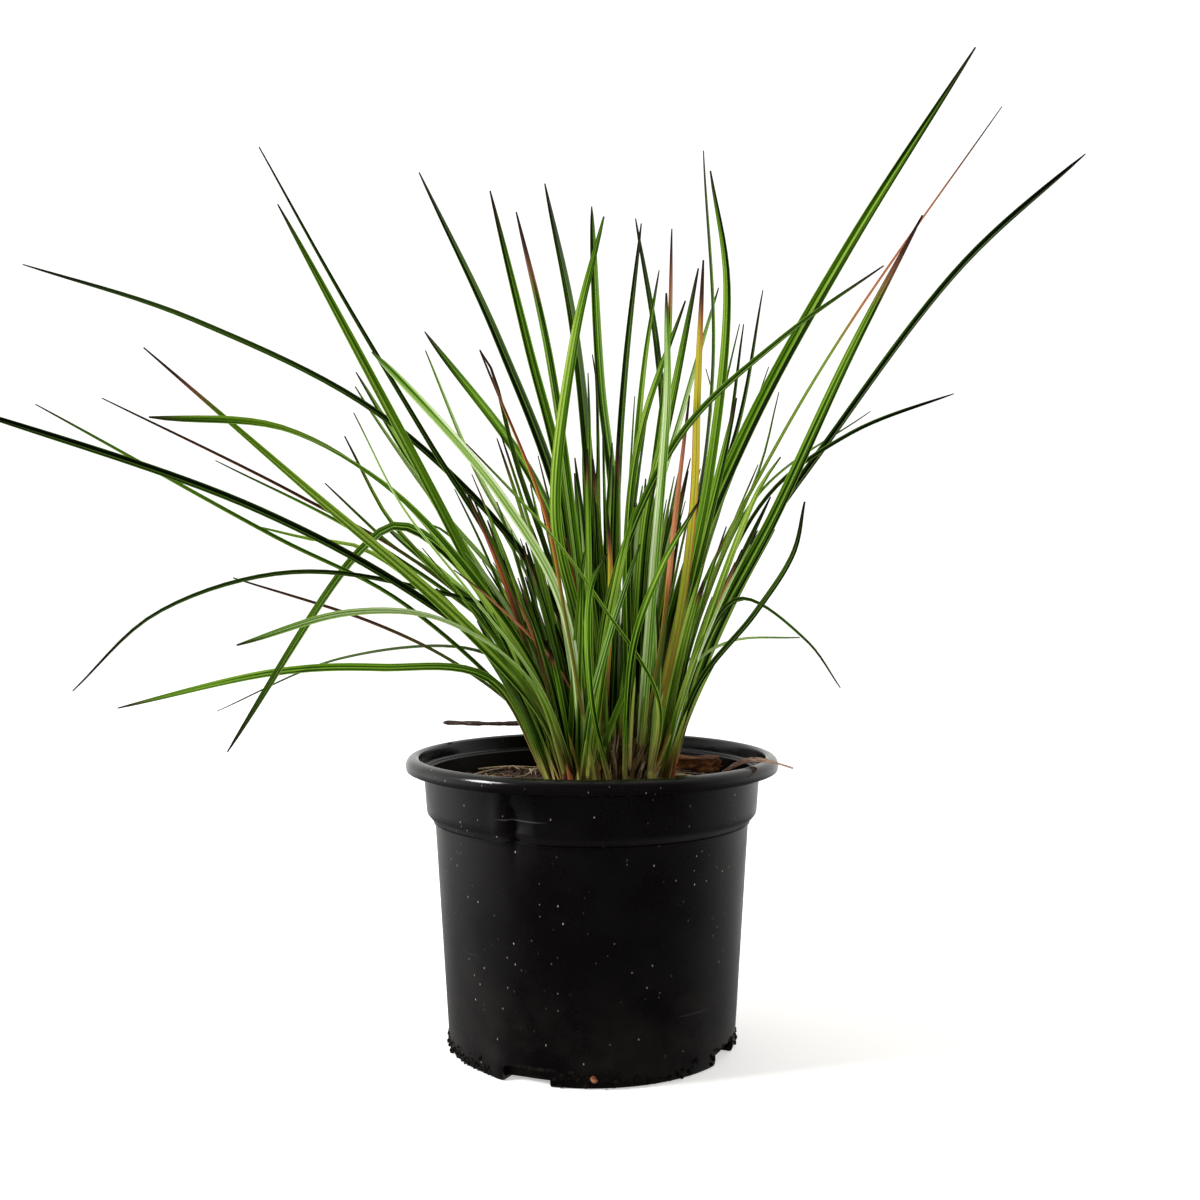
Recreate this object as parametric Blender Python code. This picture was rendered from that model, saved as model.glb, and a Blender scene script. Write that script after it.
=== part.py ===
"""Potted ornamental grass clump: a black two-litre nursery pot, its potting mix and its keeled leaves.

Metres, +Z up. The origin is the middle of the pot's flat underside, and -Y is the front.
"""

import math

import bmesh
import bpy
import numpy as np

# Driving dimensions, in metres
POT_HEIGHT = 0.1325
RIM_RADIUS = 0.0850
RIDGE_RADIUS = 0.0818
MOUTH_RADIUS = 0.0789
LIP_HEIGHT = 0.0065
LEDGE_DEPTH = 0.0070
COLLAR_TOP_RADIUS = 0.0767
COLLAR_LOW_RADIUS = 0.0754
COLLAR_LOW_Z = 0.1075
SHOULDER_Z = 0.1030
BODY_TOP_RADIUS = 0.0715
BASE_RADIUS = 0.0655
BASE_CORNER = 0.0015
WALL = 0.0013
MOUTH_SLOPE = 0.0011
RIDGE_DROP = 0.0003
RIM_ROUND = 0.0012
RIM_DROP = 0.0020
LIP_ROUND = 0.0008
POT_STEPS = 60
POT_MERGE = 0.00005
NOTCH_COUNT = 4
NOTCH_TURN = math.radians(-25.0)
NOTCH_SIZE = (0.022, 0.022, 0.014)
DRAIN_HOLE_RADIUS = 0.005
DRAIN_HOLE_RING = 0.034
DRAIN_HOLE_DEPTH = 0.010
DRAIN_HOLE_SIDES = 12
GAP = 0.0003
SOIL_GAP = 0.0005
SOIL_TOP = 0.1180
SOIL_SHOULDER = 0.003
SOIL_FLARE = 0.0006
SOIL_TOP_RADII = (0.070, 0.061, 0.051, 0.040, 0.020)
SOIL_BUMP = 0.0018
SOIL_LARGE_LUMPS = 5
SOIL_SMALL_LUMPS = 11
SOIL_SMALL_SHARE = 0.6
SOIL_LARGE_SPREAD = 90.0
SOIL_SMALL_SPREAD = 160.0
SOIL_LUMP_TURN = 0.6
SOIL_LEVEL_REACH = 1.5
SOIL_LEVEL_FADE = 3.0
SOIL_STEPS = 40
CROWN_CENTRE = (0.013, 0.000)
CROWN_RADII = (0.034, 0.027)
CROWN_HEIGHT = 0.026
CROWN_STEPS = 20
CROWN_RINGS = (0.35, 0.65, 0.88, 1.0)
CHIP_SIZE = (0.018, 0.010, 0.006)
CHIP_PLACE = (0.051, 0.034, 0.1232)
CHIP_TURN = (math.radians(4), math.radians(-3), math.radians(-20))
CHIP_BEVEL = 0.0008
TWIG_RADII = (0.0011, 0.0008)
STRAW_RADII = (0.0010, 0.0005)
STALK_SIDES = 6
STALK_STATIONS = 10
ROOT_GAP = 0.0012
LEAF_STATIONS = 10
LEAF_THICKNESS = 0.0008
LEAF_TIP_WIDTH = 0.0003
LEAF_KEEL = 0.16
LEAF_THINNING = 0.6
LEAF_FOOT_SHARE = 0.4
LEAF_FOOT_GROWTH = 1.8
LEAF_POINT_START = 3
LEAF_POINT_SHAPE = 0.9
INNER_BLADE_STATIONS = 6
INNER_BLADE_WIDTH = 3.0
INNER_BLADE_ROLL = 25.0
INNER_BLADE_SINK = -0.004
CURVE_STEPS = 24
SHARP_ANGLE = math.radians(35)
MM = 0.001

# Colours are linear RGB, then roughness
FINISHES = {
    "pot_plastic": ((0.012, 0.012, 0.013), 0.42),
    "potting_mix": ((0.035, 0.020, 0.012), 0.95),
    "dead_sheath": ((0.150, 0.085, 0.045), 0.85),
    "dead_stem": ((0.110, 0.060, 0.030), 0.80),
    "bark": ((0.120, 0.045, 0.022), 0.85),
    "leaf_dark": ((0.030, 0.065, 0.012), 0.45),
    "leaf_green": ((0.085, 0.160, 0.025), 0.45),
    "leaf_light": ((0.230, 0.300, 0.060), 0.50),
    "leaf_dried": ((0.480, 0.270, 0.060), 0.65),
}

# Each leaf: where it grows from on the crown (x, y), the points that its midrib passes on the way to
# its tip (x, y, z), its width, its roll about the midrib in degrees, and its finish. All in millimetres.
LEAVES = [
    # arching to the left
    ((-8, 14), [(-15, 18, 193), (-91, 25, 282), (-188, 33, 334), (-274, 40, 363)], 5, 35, "leaf_dark"),
    ((-14, -4), [(-22, -8, 158), (-78, -15, 204), (-150, -25, 244), (-280, -42, 290)], 5, 40, "leaf_dark"),
    ((-17, 2), [(-30, 5, 147), (-89, 12, 201), (-150, 18, 232), (-265, 30, 295)], 3, 30, "leaf_green"),
    ((-12, -14), [(-21, -19, 150), (-58, -25, 193), (-126, -37, 254), (-189, -50, 311)],
     6, 60, "leaf_light"),
    ((-14, 8), [(-16, 13, 156), (-77, 24, 215), (-140, 34, 251), (-240, 50, 300)], 3, 30, "leaf_dried"),
    ((-13, 16), [(-27, 30, 166), (-106, 60, 227), (-195, 90, 272)], 3, 30, "leaf_green"),
    ((-8, -10), [(-21, -18, 163), (-49, -29, 208), (-89, -43, 253), (-130, -55, 276), (-181, -70, 280)],
     5, 40, "leaf_green"),
    ((-4, -2), [(-24, -4, 186), (-85, -9, 210), (-140, -11, 215), (-195, -16, 197), (-231, -20, 163)],
     4, 20, "leaf_dark"),
    ((-18, 8), [(-32, 19, 146), (-63, 28, 170), (-103, 39, 189), (-179, 60, 212)], 3, 30, "leaf_dried"),
    ((-20, -6), [(-47, 4, 166), (-100, 20, 170), (-150, 35, 167), (-237, 60, 147)], 4, 35, "leaf_green"),
    ((-12, 20), [(-35, 34, 165), (-60, 45, 177), (-129, 80, 170), (-203, 120, 139)], 3, 20, "leaf_dark"),
    ((-14, 12), [(-50, 10, 204.6), (-90, 20, 237), (-109, 25, 226), (-175, 30, 129)], 4, 30, "leaf_green"),
    ((-10, -18), [(-27, -38, 169), (-63, -60, 196), (-97, -81, 200), (-136, -110, 189)],
     3, 30, "leaf_light"),
    ((-6, 6), [(-43, 11, 221), (-76, 18, 275), (-120, 29, 348), (-160, 40, 419)], 5, 50, "leaf_dark"),
    ((-10, -8), [(-37, -14, 181), (-67, -24, 243), (-102, -37, 312), (-132, -50, 371)], 6, 60, "leaf_green"),
    # leaning back on the left
    ((-4, 18), [(-35, 40, 182), (-83, 81, 254), (-127, 120, 321)], 4, 20, "leaf_green"),
    ((-4, 22), [(-21, 58, 161), (-65, 102, 200), (-116, 150, 239)], 5, 10, "leaf_green"),
    ((0, 20), [(-11, 42, 172), (-37, 70, 226), (-61, 94, 267), (-91, 130, 334)], 5, 10, "leaf_light"),
    ((2, 22), [(-4, 51, 182), (-28, 100, 257), (-96, 170, 350)], 5, 10, "leaf_green"),
    ((0, 10), [(-12, 22, 235), (-45, 49, 326), (-88, 80, 417)], 5, 50, "leaf_dark"),
    # leaning forward on the left
    ((0, -20), [(-13, -45, 200), (-37, -79, 246), (-79, -140, 297)], 4, 15, "leaf_light"),
    ((-5, -19), [(-22, -40, 165), (-50, -66, 207), (-75, -93, 243), (-89, -120, 277)], 4, 15, "leaf_light"),
    ((4, -22), [(-11, -52, 196), (-18, -85, 238), (-39, -150, 296)], 3, 10, "leaf_dried"),
    ((30, -20), [(28, -45, 161), (4, -75, 203), (-14, -99, 229), (-45, -140, 264)], 3, 30, "leaf_dark"),
    # upright in the middle
    ((4, 2), [(-15, 4, 262), (-29, 6, 318), (-47, 10, 391)], 4, 70, "leaf_green"),
    ((6, -10), [(-5, -22, 204), (-18, -56, 305), (-30, -80, 361)], 5, 20, "leaf_green"),
    ((8, 10), [(0, 22, 240), (-9, 47, 333), (-24, 70, 409)], 5, 20, "leaf_dark"),
    ((12, 18), [(11, 46, 240), (4, 90, 313), (-1, 150, 416)], 4, 10, "leaf_green"),
    ((6, -16), [(-5, -34, 187), (-15, -59, 238), (-7, -97, 304), (5, -130, 348)], 4, 10, "leaf_green"),
    ((22, 20), [(35, 64, 276), (34, 111, 332), (24, 180, 416)], 3, 10, "leaf_dark"),
    ((14, 6), [(12, 19, 249), (16, 37, 312), (24, 60, 387)], 4, 20, "leaf_dark"),
    ((17, 15), [(20, 50, 250), (27, 100, 322), (36, 140, 379)], 3, 10, "leaf_green"),
    ((20, -16), [(27, -44, 221), (30, -93, 285), (28, -130, 320)], 4, 10, "leaf_light"),
    ((22, 12), [(28, 33, 250), (38, 68, 326), (41, 100, 393)], 3, 20, "leaf_green"),
    ((16, -8), [(16, -22, 239), (22, -37, 280), (39, -60, 329)], 3, 30, "leaf_green"),
    ((22, -2), [(24, -7, 239), (34, -12, 284), (47, -20, 350)], 4, 60, "leaf_green"),
    ((28, 6), [(46, 13, 221), (58, 30, 316), (54, 50, 420)], 3, 30, "leaf_green"),
    ((28, -8), [(39, -14, 194), (52, -25, 261), (58, -40, 339), (50, -50, 385)], 4, 40, "leaf_green"),
    # leaning back and forward on the right
    ((26, 16), [(30, 44, 240), (46, 76, 297), (67, 120, 366)], 3, 10, "leaf_light"),
    ((26, -14), [(38, -32, 195), (43, -56, 247), (43, -77, 286), (43, -110, 336)], 4, 10, "leaf_dried"),
    ((32, 14), [(47, 44, 211), (77, 100, 294), (94, 150, 370)], 3, 10, "leaf_dark"),
    ((36, 16), [(53, 48, 192), (87, 96, 255), (154, 150, 303)], 3, 20, "leaf_green"),
    ((10, -20), [(8, -37, 204), (36, -71, 271), (74, -101, 307), (108, -130, 330)], 4, 20, "leaf_green"),
    ((38, -16), [(46, -44, 168), (67, -70, 199), (80, -92, 224), (82, -110, 244)], 3, 20, "leaf_dark"),
    ((18, -22), [(17, -67, 184), (27, -108, 218), (39, -150, 243)], 3, 15, "leaf_green"),
    ((12, -24), [(0, -75, 164), (0, -136, 211), (6, -160, 224)], 3, 15, "leaf_light"),
    # arching to the right
    ((32, -4), [(40, -7, 203), (69, -13, 277), (114, -21, 360), (166, -30, 443)], 6, 60, "leaf_green"),
    ((34, 8), [(46, 16, 193), (85, 33, 269), (124, 49, 333), (207, 80, 450)], 4, 50, "leaf_green"),
    ((38, -6), [(53, -19, 186), (80, -32, 241), (109, -52, 308), (135, -70, 362)], 6, 60, "leaf_green"),
    ((38, 10), [(69, 16, 214), (113, 28, 278), (179, 44, 363), (243, 60, 421)], 4, 45, "leaf_dark"),
    ((42, 2), [(50, 5, 184), (81, 12, 249), (120, 18, 279), (172, 30, 300)], 3, 35, "leaf_dark"),
    ((43, -10), [(47, -24, 177), (64, -35, 204), (91, -49, 187), (104, -60, 168)], 4, 30, "leaf_dark"),
]

# Short blades between the leaves, grown together with the crown: root, then points up to the tip
INNER_BLADES = [
    ((2, -4), [(-12, -8, 230), (-32, -12, 300)]),
    ((11, -3), [(6, -10, 240), (2, -16, 310)]),
    ((12, 5), [(6, 14, 230), (0, 24, 300)]),
    ((20, 6), [(32, 10, 230), (46, 12, 300)]),
    ((30, 1), [(50, 0, 220), (82, -2, 290)]),
    ((-7, 2), [(-44, 3, 224), (-92, 0, 270)]),
    ((26, -19), [(34, -42, 200), (42, -72, 255)]),
    ((-2, -13), [(-22, -32, 200), (-44, -62, 262)]),
    ((8, 23), [(4, 60, 225), (-12, 100, 280)]),
    ((29, 20), [(42, 58, 225), (54, 100, 285)]),
    ((34, -14), [(58, -42, 205), (92, -72, 262)]),
    ((-14, 13), [(-50, 34, 190), (-100, 54, 225)]),
]

DEAD_TWIG = [(-22, 24, 144), (-45, 36, 142), (-74, 58, 140)]
DEAD_STRAW = [(56, -30, 127), (66, -36, 133.0), (73, -41, 134.6), (80, -45, 134.0), (86, -48, 132.5)]


def clear_scene():
    for obj in list(bpy.data.objects):
        bpy.data.objects.remove(obj)


def finish_of(name):
    material = bpy.data.materials.get(name)
    if material:
        return material
    colour, roughness = FINISHES[name]
    material = bpy.data.materials.new(name)
    material.use_nodes = True
    shader = material.node_tree.nodes["Principled BSDF"]
    shader.inputs["Base Color"].default_value = (*colour, 1.0)
    shader.inputs["Roughness"].default_value = roughness
    shader.inputs["Metallic"].default_value = 0.0
    return material


def add_object(name, points, faces, finish, smooth=False):
    mesh = bpy.data.meshes.new(name)
    mesh.from_pydata([tuple(map(float, point)) for point in points], [], faces)
    if smooth:
        mesh.shade_smooth()
        mesh.set_sharp_from_angle(angle=SHARP_ANGLE)
    obj = bpy.data.objects.new(name, mesh)
    obj.data.materials.append(finish_of(finish))
    bpy.context.scene.collection.objects.link(obj)
    return obj


def ring_faces(first, second, count):
    """Quads between two rings of points that start at these indices."""
    faces = []
    for i in range(count):
        after = (i + 1) % count
        faces.append((first + i, first + after, second + after, second + i))
    return faces


def pot_profile():
    """Half section: from the middle of the floor up the inside, over the rim and down the outside."""
    inner = [
        (0.0, WALL),
        (BASE_RADIUS - WALL - BASE_CORNER, WALL),
        (BASE_RADIUS - WALL, WALL + BASE_CORNER),
        (BODY_TOP_RADIUS - WALL, SHOULDER_Z + WALL / 2),
        (COLLAR_LOW_RADIUS - WALL, COLLAR_LOW_Z + WALL / 2),
        (COLLAR_TOP_RADIUS - WALL, POT_HEIGHT - LEDGE_DEPTH),
        (MOUTH_RADIUS, POT_HEIGHT - LEDGE_DEPTH / 2),
        (MOUTH_RADIUS + MOUTH_SLOPE, POT_HEIGHT - RIDGE_DROP),
    ]
    rim = [
        (RIDGE_RADIUS, POT_HEIGHT),
        (RIM_RADIUS - RIM_ROUND, POT_HEIGHT - RIDGE_DROP),
        (RIM_RADIUS, POT_HEIGHT - RIM_DROP),
        (RIM_RADIUS, POT_HEIGHT - LIP_HEIGHT + LIP_ROUND),
        (RIM_RADIUS - LIP_ROUND, POT_HEIGHT - LIP_HEIGHT),
    ]
    outer = [
        (COLLAR_TOP_RADIUS, POT_HEIGHT - LIP_HEIGHT),
        (COLLAR_LOW_RADIUS, COLLAR_LOW_Z),
        (BODY_TOP_RADIUS, SHOULDER_Z),
        (BASE_RADIUS, BASE_CORNER),
        (BASE_RADIUS - BASE_CORNER, 0.0),
        (0.0, 0.0),
    ]
    return inner + rim + outer


def drain_cutter():
    """Four notches through the bottom corner and four round holes through the floor, as one cutter."""
    mesh = bpy.data.meshes.new("drain_cutter")
    shape = bmesh.new()
    for i in range(NOTCH_COUNT):
        turn = NOTCH_TURN + i * math.tau / NOTCH_COUNT
        centre = bmesh.ops.create_cube(shape, size=1.0)["verts"]
        bmesh.ops.scale(shape, vec=NOTCH_SIZE, verts=centre)
        bmesh.ops.translate(shape, vec=(0.0, -BASE_RADIUS, 0.0), verts=centre)
        for vert in centre:
            x, y = vert.co.x, vert.co.y
            vert.co.x = x * math.cos(turn) - y * math.sin(turn)
            vert.co.y = x * math.sin(turn) + y * math.cos(turn)
        hole = bmesh.ops.create_cone(
            shape,
            cap_ends=True,
            segments=DRAIN_HOLE_SIDES,
            radius1=DRAIN_HOLE_RADIUS,
            radius2=DRAIN_HOLE_RADIUS,
            depth=DRAIN_HOLE_DEPTH,
        )["verts"]
        halfway = turn + math.pi / NOTCH_COUNT
        place = (DRAIN_HOLE_RING * math.sin(halfway), -DRAIN_HOLE_RING * math.cos(halfway), 0.0)
        bmesh.ops.translate(shape, vec=place, verts=hole)
    shape.to_mesh(mesh)
    shape.free()
    cutter = bpy.data.objects.new("drain_cutter", mesh)
    cutter.hide_render = True
    cutter.display_type = "WIRE"
    bpy.context.scene.collection.objects.link(cutter)
    return cutter


def make_pot():
    profile = pot_profile()
    mesh = bpy.data.meshes.new("pot")
    edges = [(i, i + 1) for i in range(len(profile) - 1)]
    mesh.from_pydata([(radius, 0.0, height) for radius, height in profile], edges, [])
    pot = bpy.data.objects.new("pot", mesh)
    pot.data.materials.append(finish_of("pot_plastic"))
    bpy.context.scene.collection.objects.link(pot)
    turn = pot.modifiers.new("turned", "SCREW")
    turn.steps = POT_STEPS
    turn.render_steps = POT_STEPS
    turn.use_merge_vertices = True
    turn.merge_threshold = POT_MERGE
    turn.use_smooth_shade = True
    drain = pot.modifiers.new("drain", "BOOLEAN")
    drain.operation = "DIFFERENCE"
    drain.solver = "EXACT"
    drain.object = drain_cutter()


def soil_height(radius, angle):
    """Lumps in the surface of the mix, level under the crown."""
    large = math.sin(SOIL_LARGE_LUMPS * angle + SOIL_LUMP_TURN) * math.cos(SOIL_LARGE_SPREAD * radius)
    small = SOIL_SMALL_SHARE * math.sin(SOIL_SMALL_LUMPS * angle + SOIL_SMALL_SPREAD * radius)
    x = radius * math.cos(angle) - CROWN_CENTRE[0]
    y = radius * math.sin(angle) - CROWN_CENTRE[1]
    beyond = math.hypot(x / CROWN_RADII[0], y / CROWN_RADII[1]) - SOIL_LEVEL_REACH
    fade = min(1.0, max(0.0, beyond * SOIL_LEVEL_FADE))
    return SOIL_TOP + SOIL_BUMP * (large + small) * fade


def make_soil():
    side = [
        (BASE_RADIUS - WALL - BASE_CORNER - SOIL_GAP, WALL + GAP),
        (BASE_RADIUS - WALL - SOIL_GAP, WALL + BASE_CORNER + GAP),
        (BODY_TOP_RADIUS - WALL - SOIL_GAP, SHOULDER_Z + WALL / 2 + GAP),
        (COLLAR_LOW_RADIUS - WALL - SOIL_GAP, COLLAR_LOW_Z + WALL / 2 + GAP),
        (COLLAR_LOW_RADIUS - WALL - SOIL_GAP + SOIL_FLARE, SOIL_TOP - SOIL_SHOULDER),
    ]
    points = []
    for radius, height in side:
        for i in range(SOIL_STEPS):
            angle = i * math.tau / SOIL_STEPS
            points.append((radius * math.cos(angle), radius * math.sin(angle), height))
    for radius in SOIL_TOP_RADII:
        for i in range(SOIL_STEPS):
            angle = i * math.tau / SOIL_STEPS
            points.append((radius * math.cos(angle), radius * math.sin(angle), soil_height(radius, angle)))
    rings = len(side) + len(SOIL_TOP_RADII)
    faces = []
    for ring in range(rings - 1):
        faces += ring_faces(ring * SOIL_STEPS, (ring + 1) * SOIL_STEPS, SOIL_STEPS)
    faces.append(tuple(reversed(range(SOIL_STEPS))))
    last = (rings - 1) * SOIL_STEPS
    faces.append(tuple(range(last, last + SOIL_STEPS)))
    add_object("potting_mix", points, faces, "potting_mix")


def crown_height(x, y):
    """Top of the crown's low dome above this place."""
    across_x = (x - CROWN_CENTRE[0]) / CROWN_RADII[0]
    across_y = (y - CROWN_CENTRE[1]) / CROWN_RADII[1]
    across = math.hypot(across_x, across_y)
    return SOIL_TOP + GAP + CROWN_HEIGHT * math.sqrt(max(0.0, 1.0 - across**2))


def smooth_line(points, stations):
    """Evenly spaced points along a smooth curve (Catmull-Rom) that passes through these."""
    knots = np.array(points, float)
    padded = np.vstack([2 * knots[0] - knots[1], knots, 2 * knots[-1] - knots[-2]])
    spread = np.sqrt(np.linalg.norm(np.diff(padded, axis=0), axis=1))
    times = np.concatenate([[0.0], np.cumsum(spread)])
    dense = []
    for i in range(1, len(padded) - 2):
        t0, t1, t2, t3 = times[i - 1 : i + 3]
        p0, p1, p2, p3 = padded[i - 1 : i + 3]
        for t in np.linspace(t1, t2, CURVE_STEPS, endpoint=False):
            a1 = (t1 - t) / (t1 - t0) * p0 + (t - t0) / (t1 - t0) * p1
            a2 = (t2 - t) / (t2 - t1) * p1 + (t - t1) / (t2 - t1) * p2
            a3 = (t3 - t) / (t3 - t2) * p2 + (t - t2) / (t3 - t2) * p3
            b1 = (t2 - t) / (t2 - t0) * a1 + (t - t0) / (t2 - t0) * a2
            b2 = (t3 - t) / (t3 - t1) * a2 + (t - t1) / (t3 - t1) * a3
            dense.append((t2 - t) / (t2 - t1) * b1 + (t - t1) / (t2 - t1) * b2)
    dense.append(knots[-1])
    dense = np.array(dense)
    along = np.concatenate([[0.0], np.cumsum(np.linalg.norm(np.diff(dense, axis=0), axis=1))])
    wanted = np.linspace(0.0, along[-1], stations + 1)
    return np.column_stack([np.interp(wanted, along, dense[:, axis]) for axis in range(3)])


def frames_along(line, roll):
    """Tangent, side and face directions at each point: at roll 0 the face looks up and towards the crown."""
    tangent = np.gradient(line, axis=0)
    tangent /= np.linalg.norm(tangent, axis=1)[:, None]
    lean = line[-1] - line[0]
    level = np.array([lean[1], -lean[0], 0.0]) / math.hypot(lean[0], lean[1])
    side = level - (tangent @ level)[:, None] * tangent
    side /= np.linalg.norm(side, axis=1)[:, None]
    face = np.cross(side, tangent)
    angle = math.radians(roll)
    return side * math.cos(angle) + face * math.sin(angle), face * math.cos(angle) - side * math.sin(angle)


def leaf_width(along, width):
    """Width at this share of the length: narrow at the sheath, then full, drawn out to a fine tip."""
    foot = min(1.0, LEAF_FOOT_SHARE + LEAF_FOOT_GROWTH * along)
    point = (1.0 - along**LEAF_POINT_START) ** LEAF_POINT_SHAPE
    return width * foot * point + LEAF_TIP_WIDTH


def leaf_shape(root, route, width, roll, stations, lift):
    """Points and faces of one keeled leaf, four points to a station, starting this far above the crown."""
    x, y = root
    foot = (x, y, (crown_height(x * MM, y * MM) + lift) / MM)
    line = smooth_line([foot] + route, stations) * MM
    side, face = frames_along(line, roll)
    points = []
    for i, middle in enumerate(line):
        half = leaf_width(i / stations, width * MM) / 2
        thick = LEAF_THICKNESS / 2 * (1.0 - LEAF_THINNING * i / stations)
        keel = 2 * half * LEAF_KEEL
        points.append(middle - side[i] * half + face[i] * keel)
        points.append(middle - face[i] * thick)
        points.append(middle + side[i] * half + face[i] * keel)
        points.append(middle + face[i] * thick)
    faces = []
    for i in range(stations):
        faces += ring_faces(4 * i + 4, 4 * i, 4)
    faces.append((0, 1, 2, 3))
    last = 4 * stations
    faces.append((last + 3, last + 2, last + 1, last))
    return points, faces


def make_leaves():
    for number, (root, route, width, roll, finish) in enumerate(LEAVES, start=1):
        points, faces = leaf_shape(root, route, width, roll, LEAF_STATIONS, ROOT_GAP)
        add_object(f"leaf_{number:02d}", points, faces, finish)


def inner_blades_cutter():
    """The short blades as one helper mesh, each starting inside the crown's dome."""
    points, faces = [], []
    for root, route in INNER_BLADES:
        blade_points, blade_faces = leaf_shape(
            root, route, INNER_BLADE_WIDTH, INNER_BLADE_ROLL, INNER_BLADE_STATIONS, INNER_BLADE_SINK
        )
        start = len(points)
        points += blade_points
        faces += [tuple(start + index for index in face) for face in blade_faces]
    helper = add_object("inner_blades_helper", points, faces, "dead_sheath")
    helper.hide_render = True
    helper.display_type = "WIRE"
    return helper


def make_crown():
    points = [(CROWN_CENTRE[0], CROWN_CENTRE[1], crown_height(*CROWN_CENTRE))]
    for share in CROWN_RINGS:
        for i in range(CROWN_STEPS):
            angle = i * math.tau / CROWN_STEPS
            x = CROWN_CENTRE[0] + CROWN_RADII[0] * share * math.cos(angle)
            y = CROWN_CENTRE[1] + CROWN_RADII[1] * share * math.sin(angle)
            points.append((x, y, crown_height(x, y)))
    faces = [(0, 1 + i, 1 + (i + 1) % CROWN_STEPS) for i in range(CROWN_STEPS)]
    for ring in range(len(CROWN_RINGS) - 1):
        faces += ring_faces(1 + (ring + 1) * CROWN_STEPS, 1 + ring * CROWN_STEPS, CROWN_STEPS)
    last = 1 + (len(CROWN_RINGS) - 1) * CROWN_STEPS
    faces.append(tuple(reversed(range(last, last + CROWN_STEPS))))
    crown = add_object("crown", points, faces, "dead_sheath")
    grown = crown.modifiers.new("inner_blades", "BOOLEAN")
    grown.operation = "UNION"
    grown.solver = "EXACT"
    grown.object = inner_blades_cutter()


def stalk_shape(route, start_radius, end_radius):
    """Points and faces of a round stalk that thins towards its far end."""
    line = smooth_line(route, STALK_STATIONS) * MM
    side, face = frames_along(line, 0)
    points = []
    for i, middle in enumerate(line):
        radius = start_radius + (end_radius - start_radius) * i / STALK_STATIONS
        for corner in range(STALK_SIDES):
            angle = corner * math.tau / STALK_SIDES
            points.append(middle + radius * (side[i] * math.cos(angle) - face[i] * math.sin(angle)))
    faces = []
    for i in range(STALK_STATIONS):
        faces += ring_faces(STALK_SIDES * i, STALK_SIDES * (i + 1), STALK_SIDES)
    faces.append(tuple(reversed(range(STALK_SIDES))))
    last = STALK_SIDES * STALK_STATIONS
    faces.append(tuple(range(last, last + STALK_SIDES)))
    return points, faces


def make_litter():
    shape = bmesh.new()
    bmesh.ops.create_cube(shape, size=1.0)
    bmesh.ops.scale(shape, vec=CHIP_SIZE, verts=shape.verts)
    bmesh.ops.bevel(shape, geom=shape.edges, offset=CHIP_BEVEL, segments=1, affect="EDGES")
    mesh = bpy.data.meshes.new("bark_chip")
    shape.to_mesh(mesh)
    shape.free()
    chip = bpy.data.objects.new("bark_chip", mesh)
    chip.data.materials.append(finish_of("bark"))
    chip.location = CHIP_PLACE
    chip.rotation_euler = CHIP_TURN
    bpy.context.scene.collection.objects.link(chip)
    points, faces = stalk_shape(DEAD_TWIG, *TWIG_RADII)
    add_object("dead_twig", points, faces, "dead_stem")
    points, faces = stalk_shape(DEAD_STRAW, *STRAW_RADII)
    add_object("dead_straw", points, faces, "dead_stem")


clear_scene()
make_pot()
make_soil()
make_crown()
make_leaves()
make_litter()
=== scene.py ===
import math
import random

import bmesh
import bpy
import numpy as np
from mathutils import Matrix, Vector, noise


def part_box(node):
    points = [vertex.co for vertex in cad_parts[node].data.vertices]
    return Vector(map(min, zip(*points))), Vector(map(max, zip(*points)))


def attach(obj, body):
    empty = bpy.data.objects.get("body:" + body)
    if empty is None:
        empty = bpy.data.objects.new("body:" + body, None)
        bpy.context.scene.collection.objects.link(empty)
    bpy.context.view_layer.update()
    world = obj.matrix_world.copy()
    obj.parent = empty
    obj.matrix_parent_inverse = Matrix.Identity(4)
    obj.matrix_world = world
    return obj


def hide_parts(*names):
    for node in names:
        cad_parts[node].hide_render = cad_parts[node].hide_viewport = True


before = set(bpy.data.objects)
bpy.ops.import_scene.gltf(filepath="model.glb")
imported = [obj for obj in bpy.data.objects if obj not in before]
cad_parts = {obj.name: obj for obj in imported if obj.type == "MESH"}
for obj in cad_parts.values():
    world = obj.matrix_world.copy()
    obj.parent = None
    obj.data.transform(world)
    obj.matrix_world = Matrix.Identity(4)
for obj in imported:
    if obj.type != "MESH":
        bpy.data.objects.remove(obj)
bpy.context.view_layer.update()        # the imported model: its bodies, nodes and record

mm = 0.001
smoothly = {"interpolation_type": "SMOOTHSTEP"}      # settings of nodes that many materials share
times, minus, timesPlus = ({"operation": name} for name in ("MULTIPLY", "SUBTRACT", "MULTIPLY_ADD"))
inColour = {"data_type": "RGBA"}

# Studio

studio = {
    "floorSize": 8.0,
    "floorColour": "#fbfaf8",
    "floorGlow": 0.45,          # lifts the painted floor to the white of the backdrop
    "backdrop": 1.15,           # how bright the studio looks
    "skyBehind": 1.0,           # and how much it lights from behind and from the front
    "skyFront": 0.06,
    "skyBelow": 0.22,           # share of that left in what the pot mirrors from below
    "skyLeft": 0.60,            # added by a pale screen on the left
    "keyPower": 62.0,
    "keyPlace": (-1.9, -0.45, 1.5),
    "keySize": 0.7,
    "fillPower": 13.0,
    "fillPlace": (0.7, -1.6, 0.8),
    "fillSize": 1.4,
    "cameraPlace": (0.0036, -0.683, 0.2246),
    "cameraTilt": -1.82,
    "lens": 44.8,
}


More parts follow.
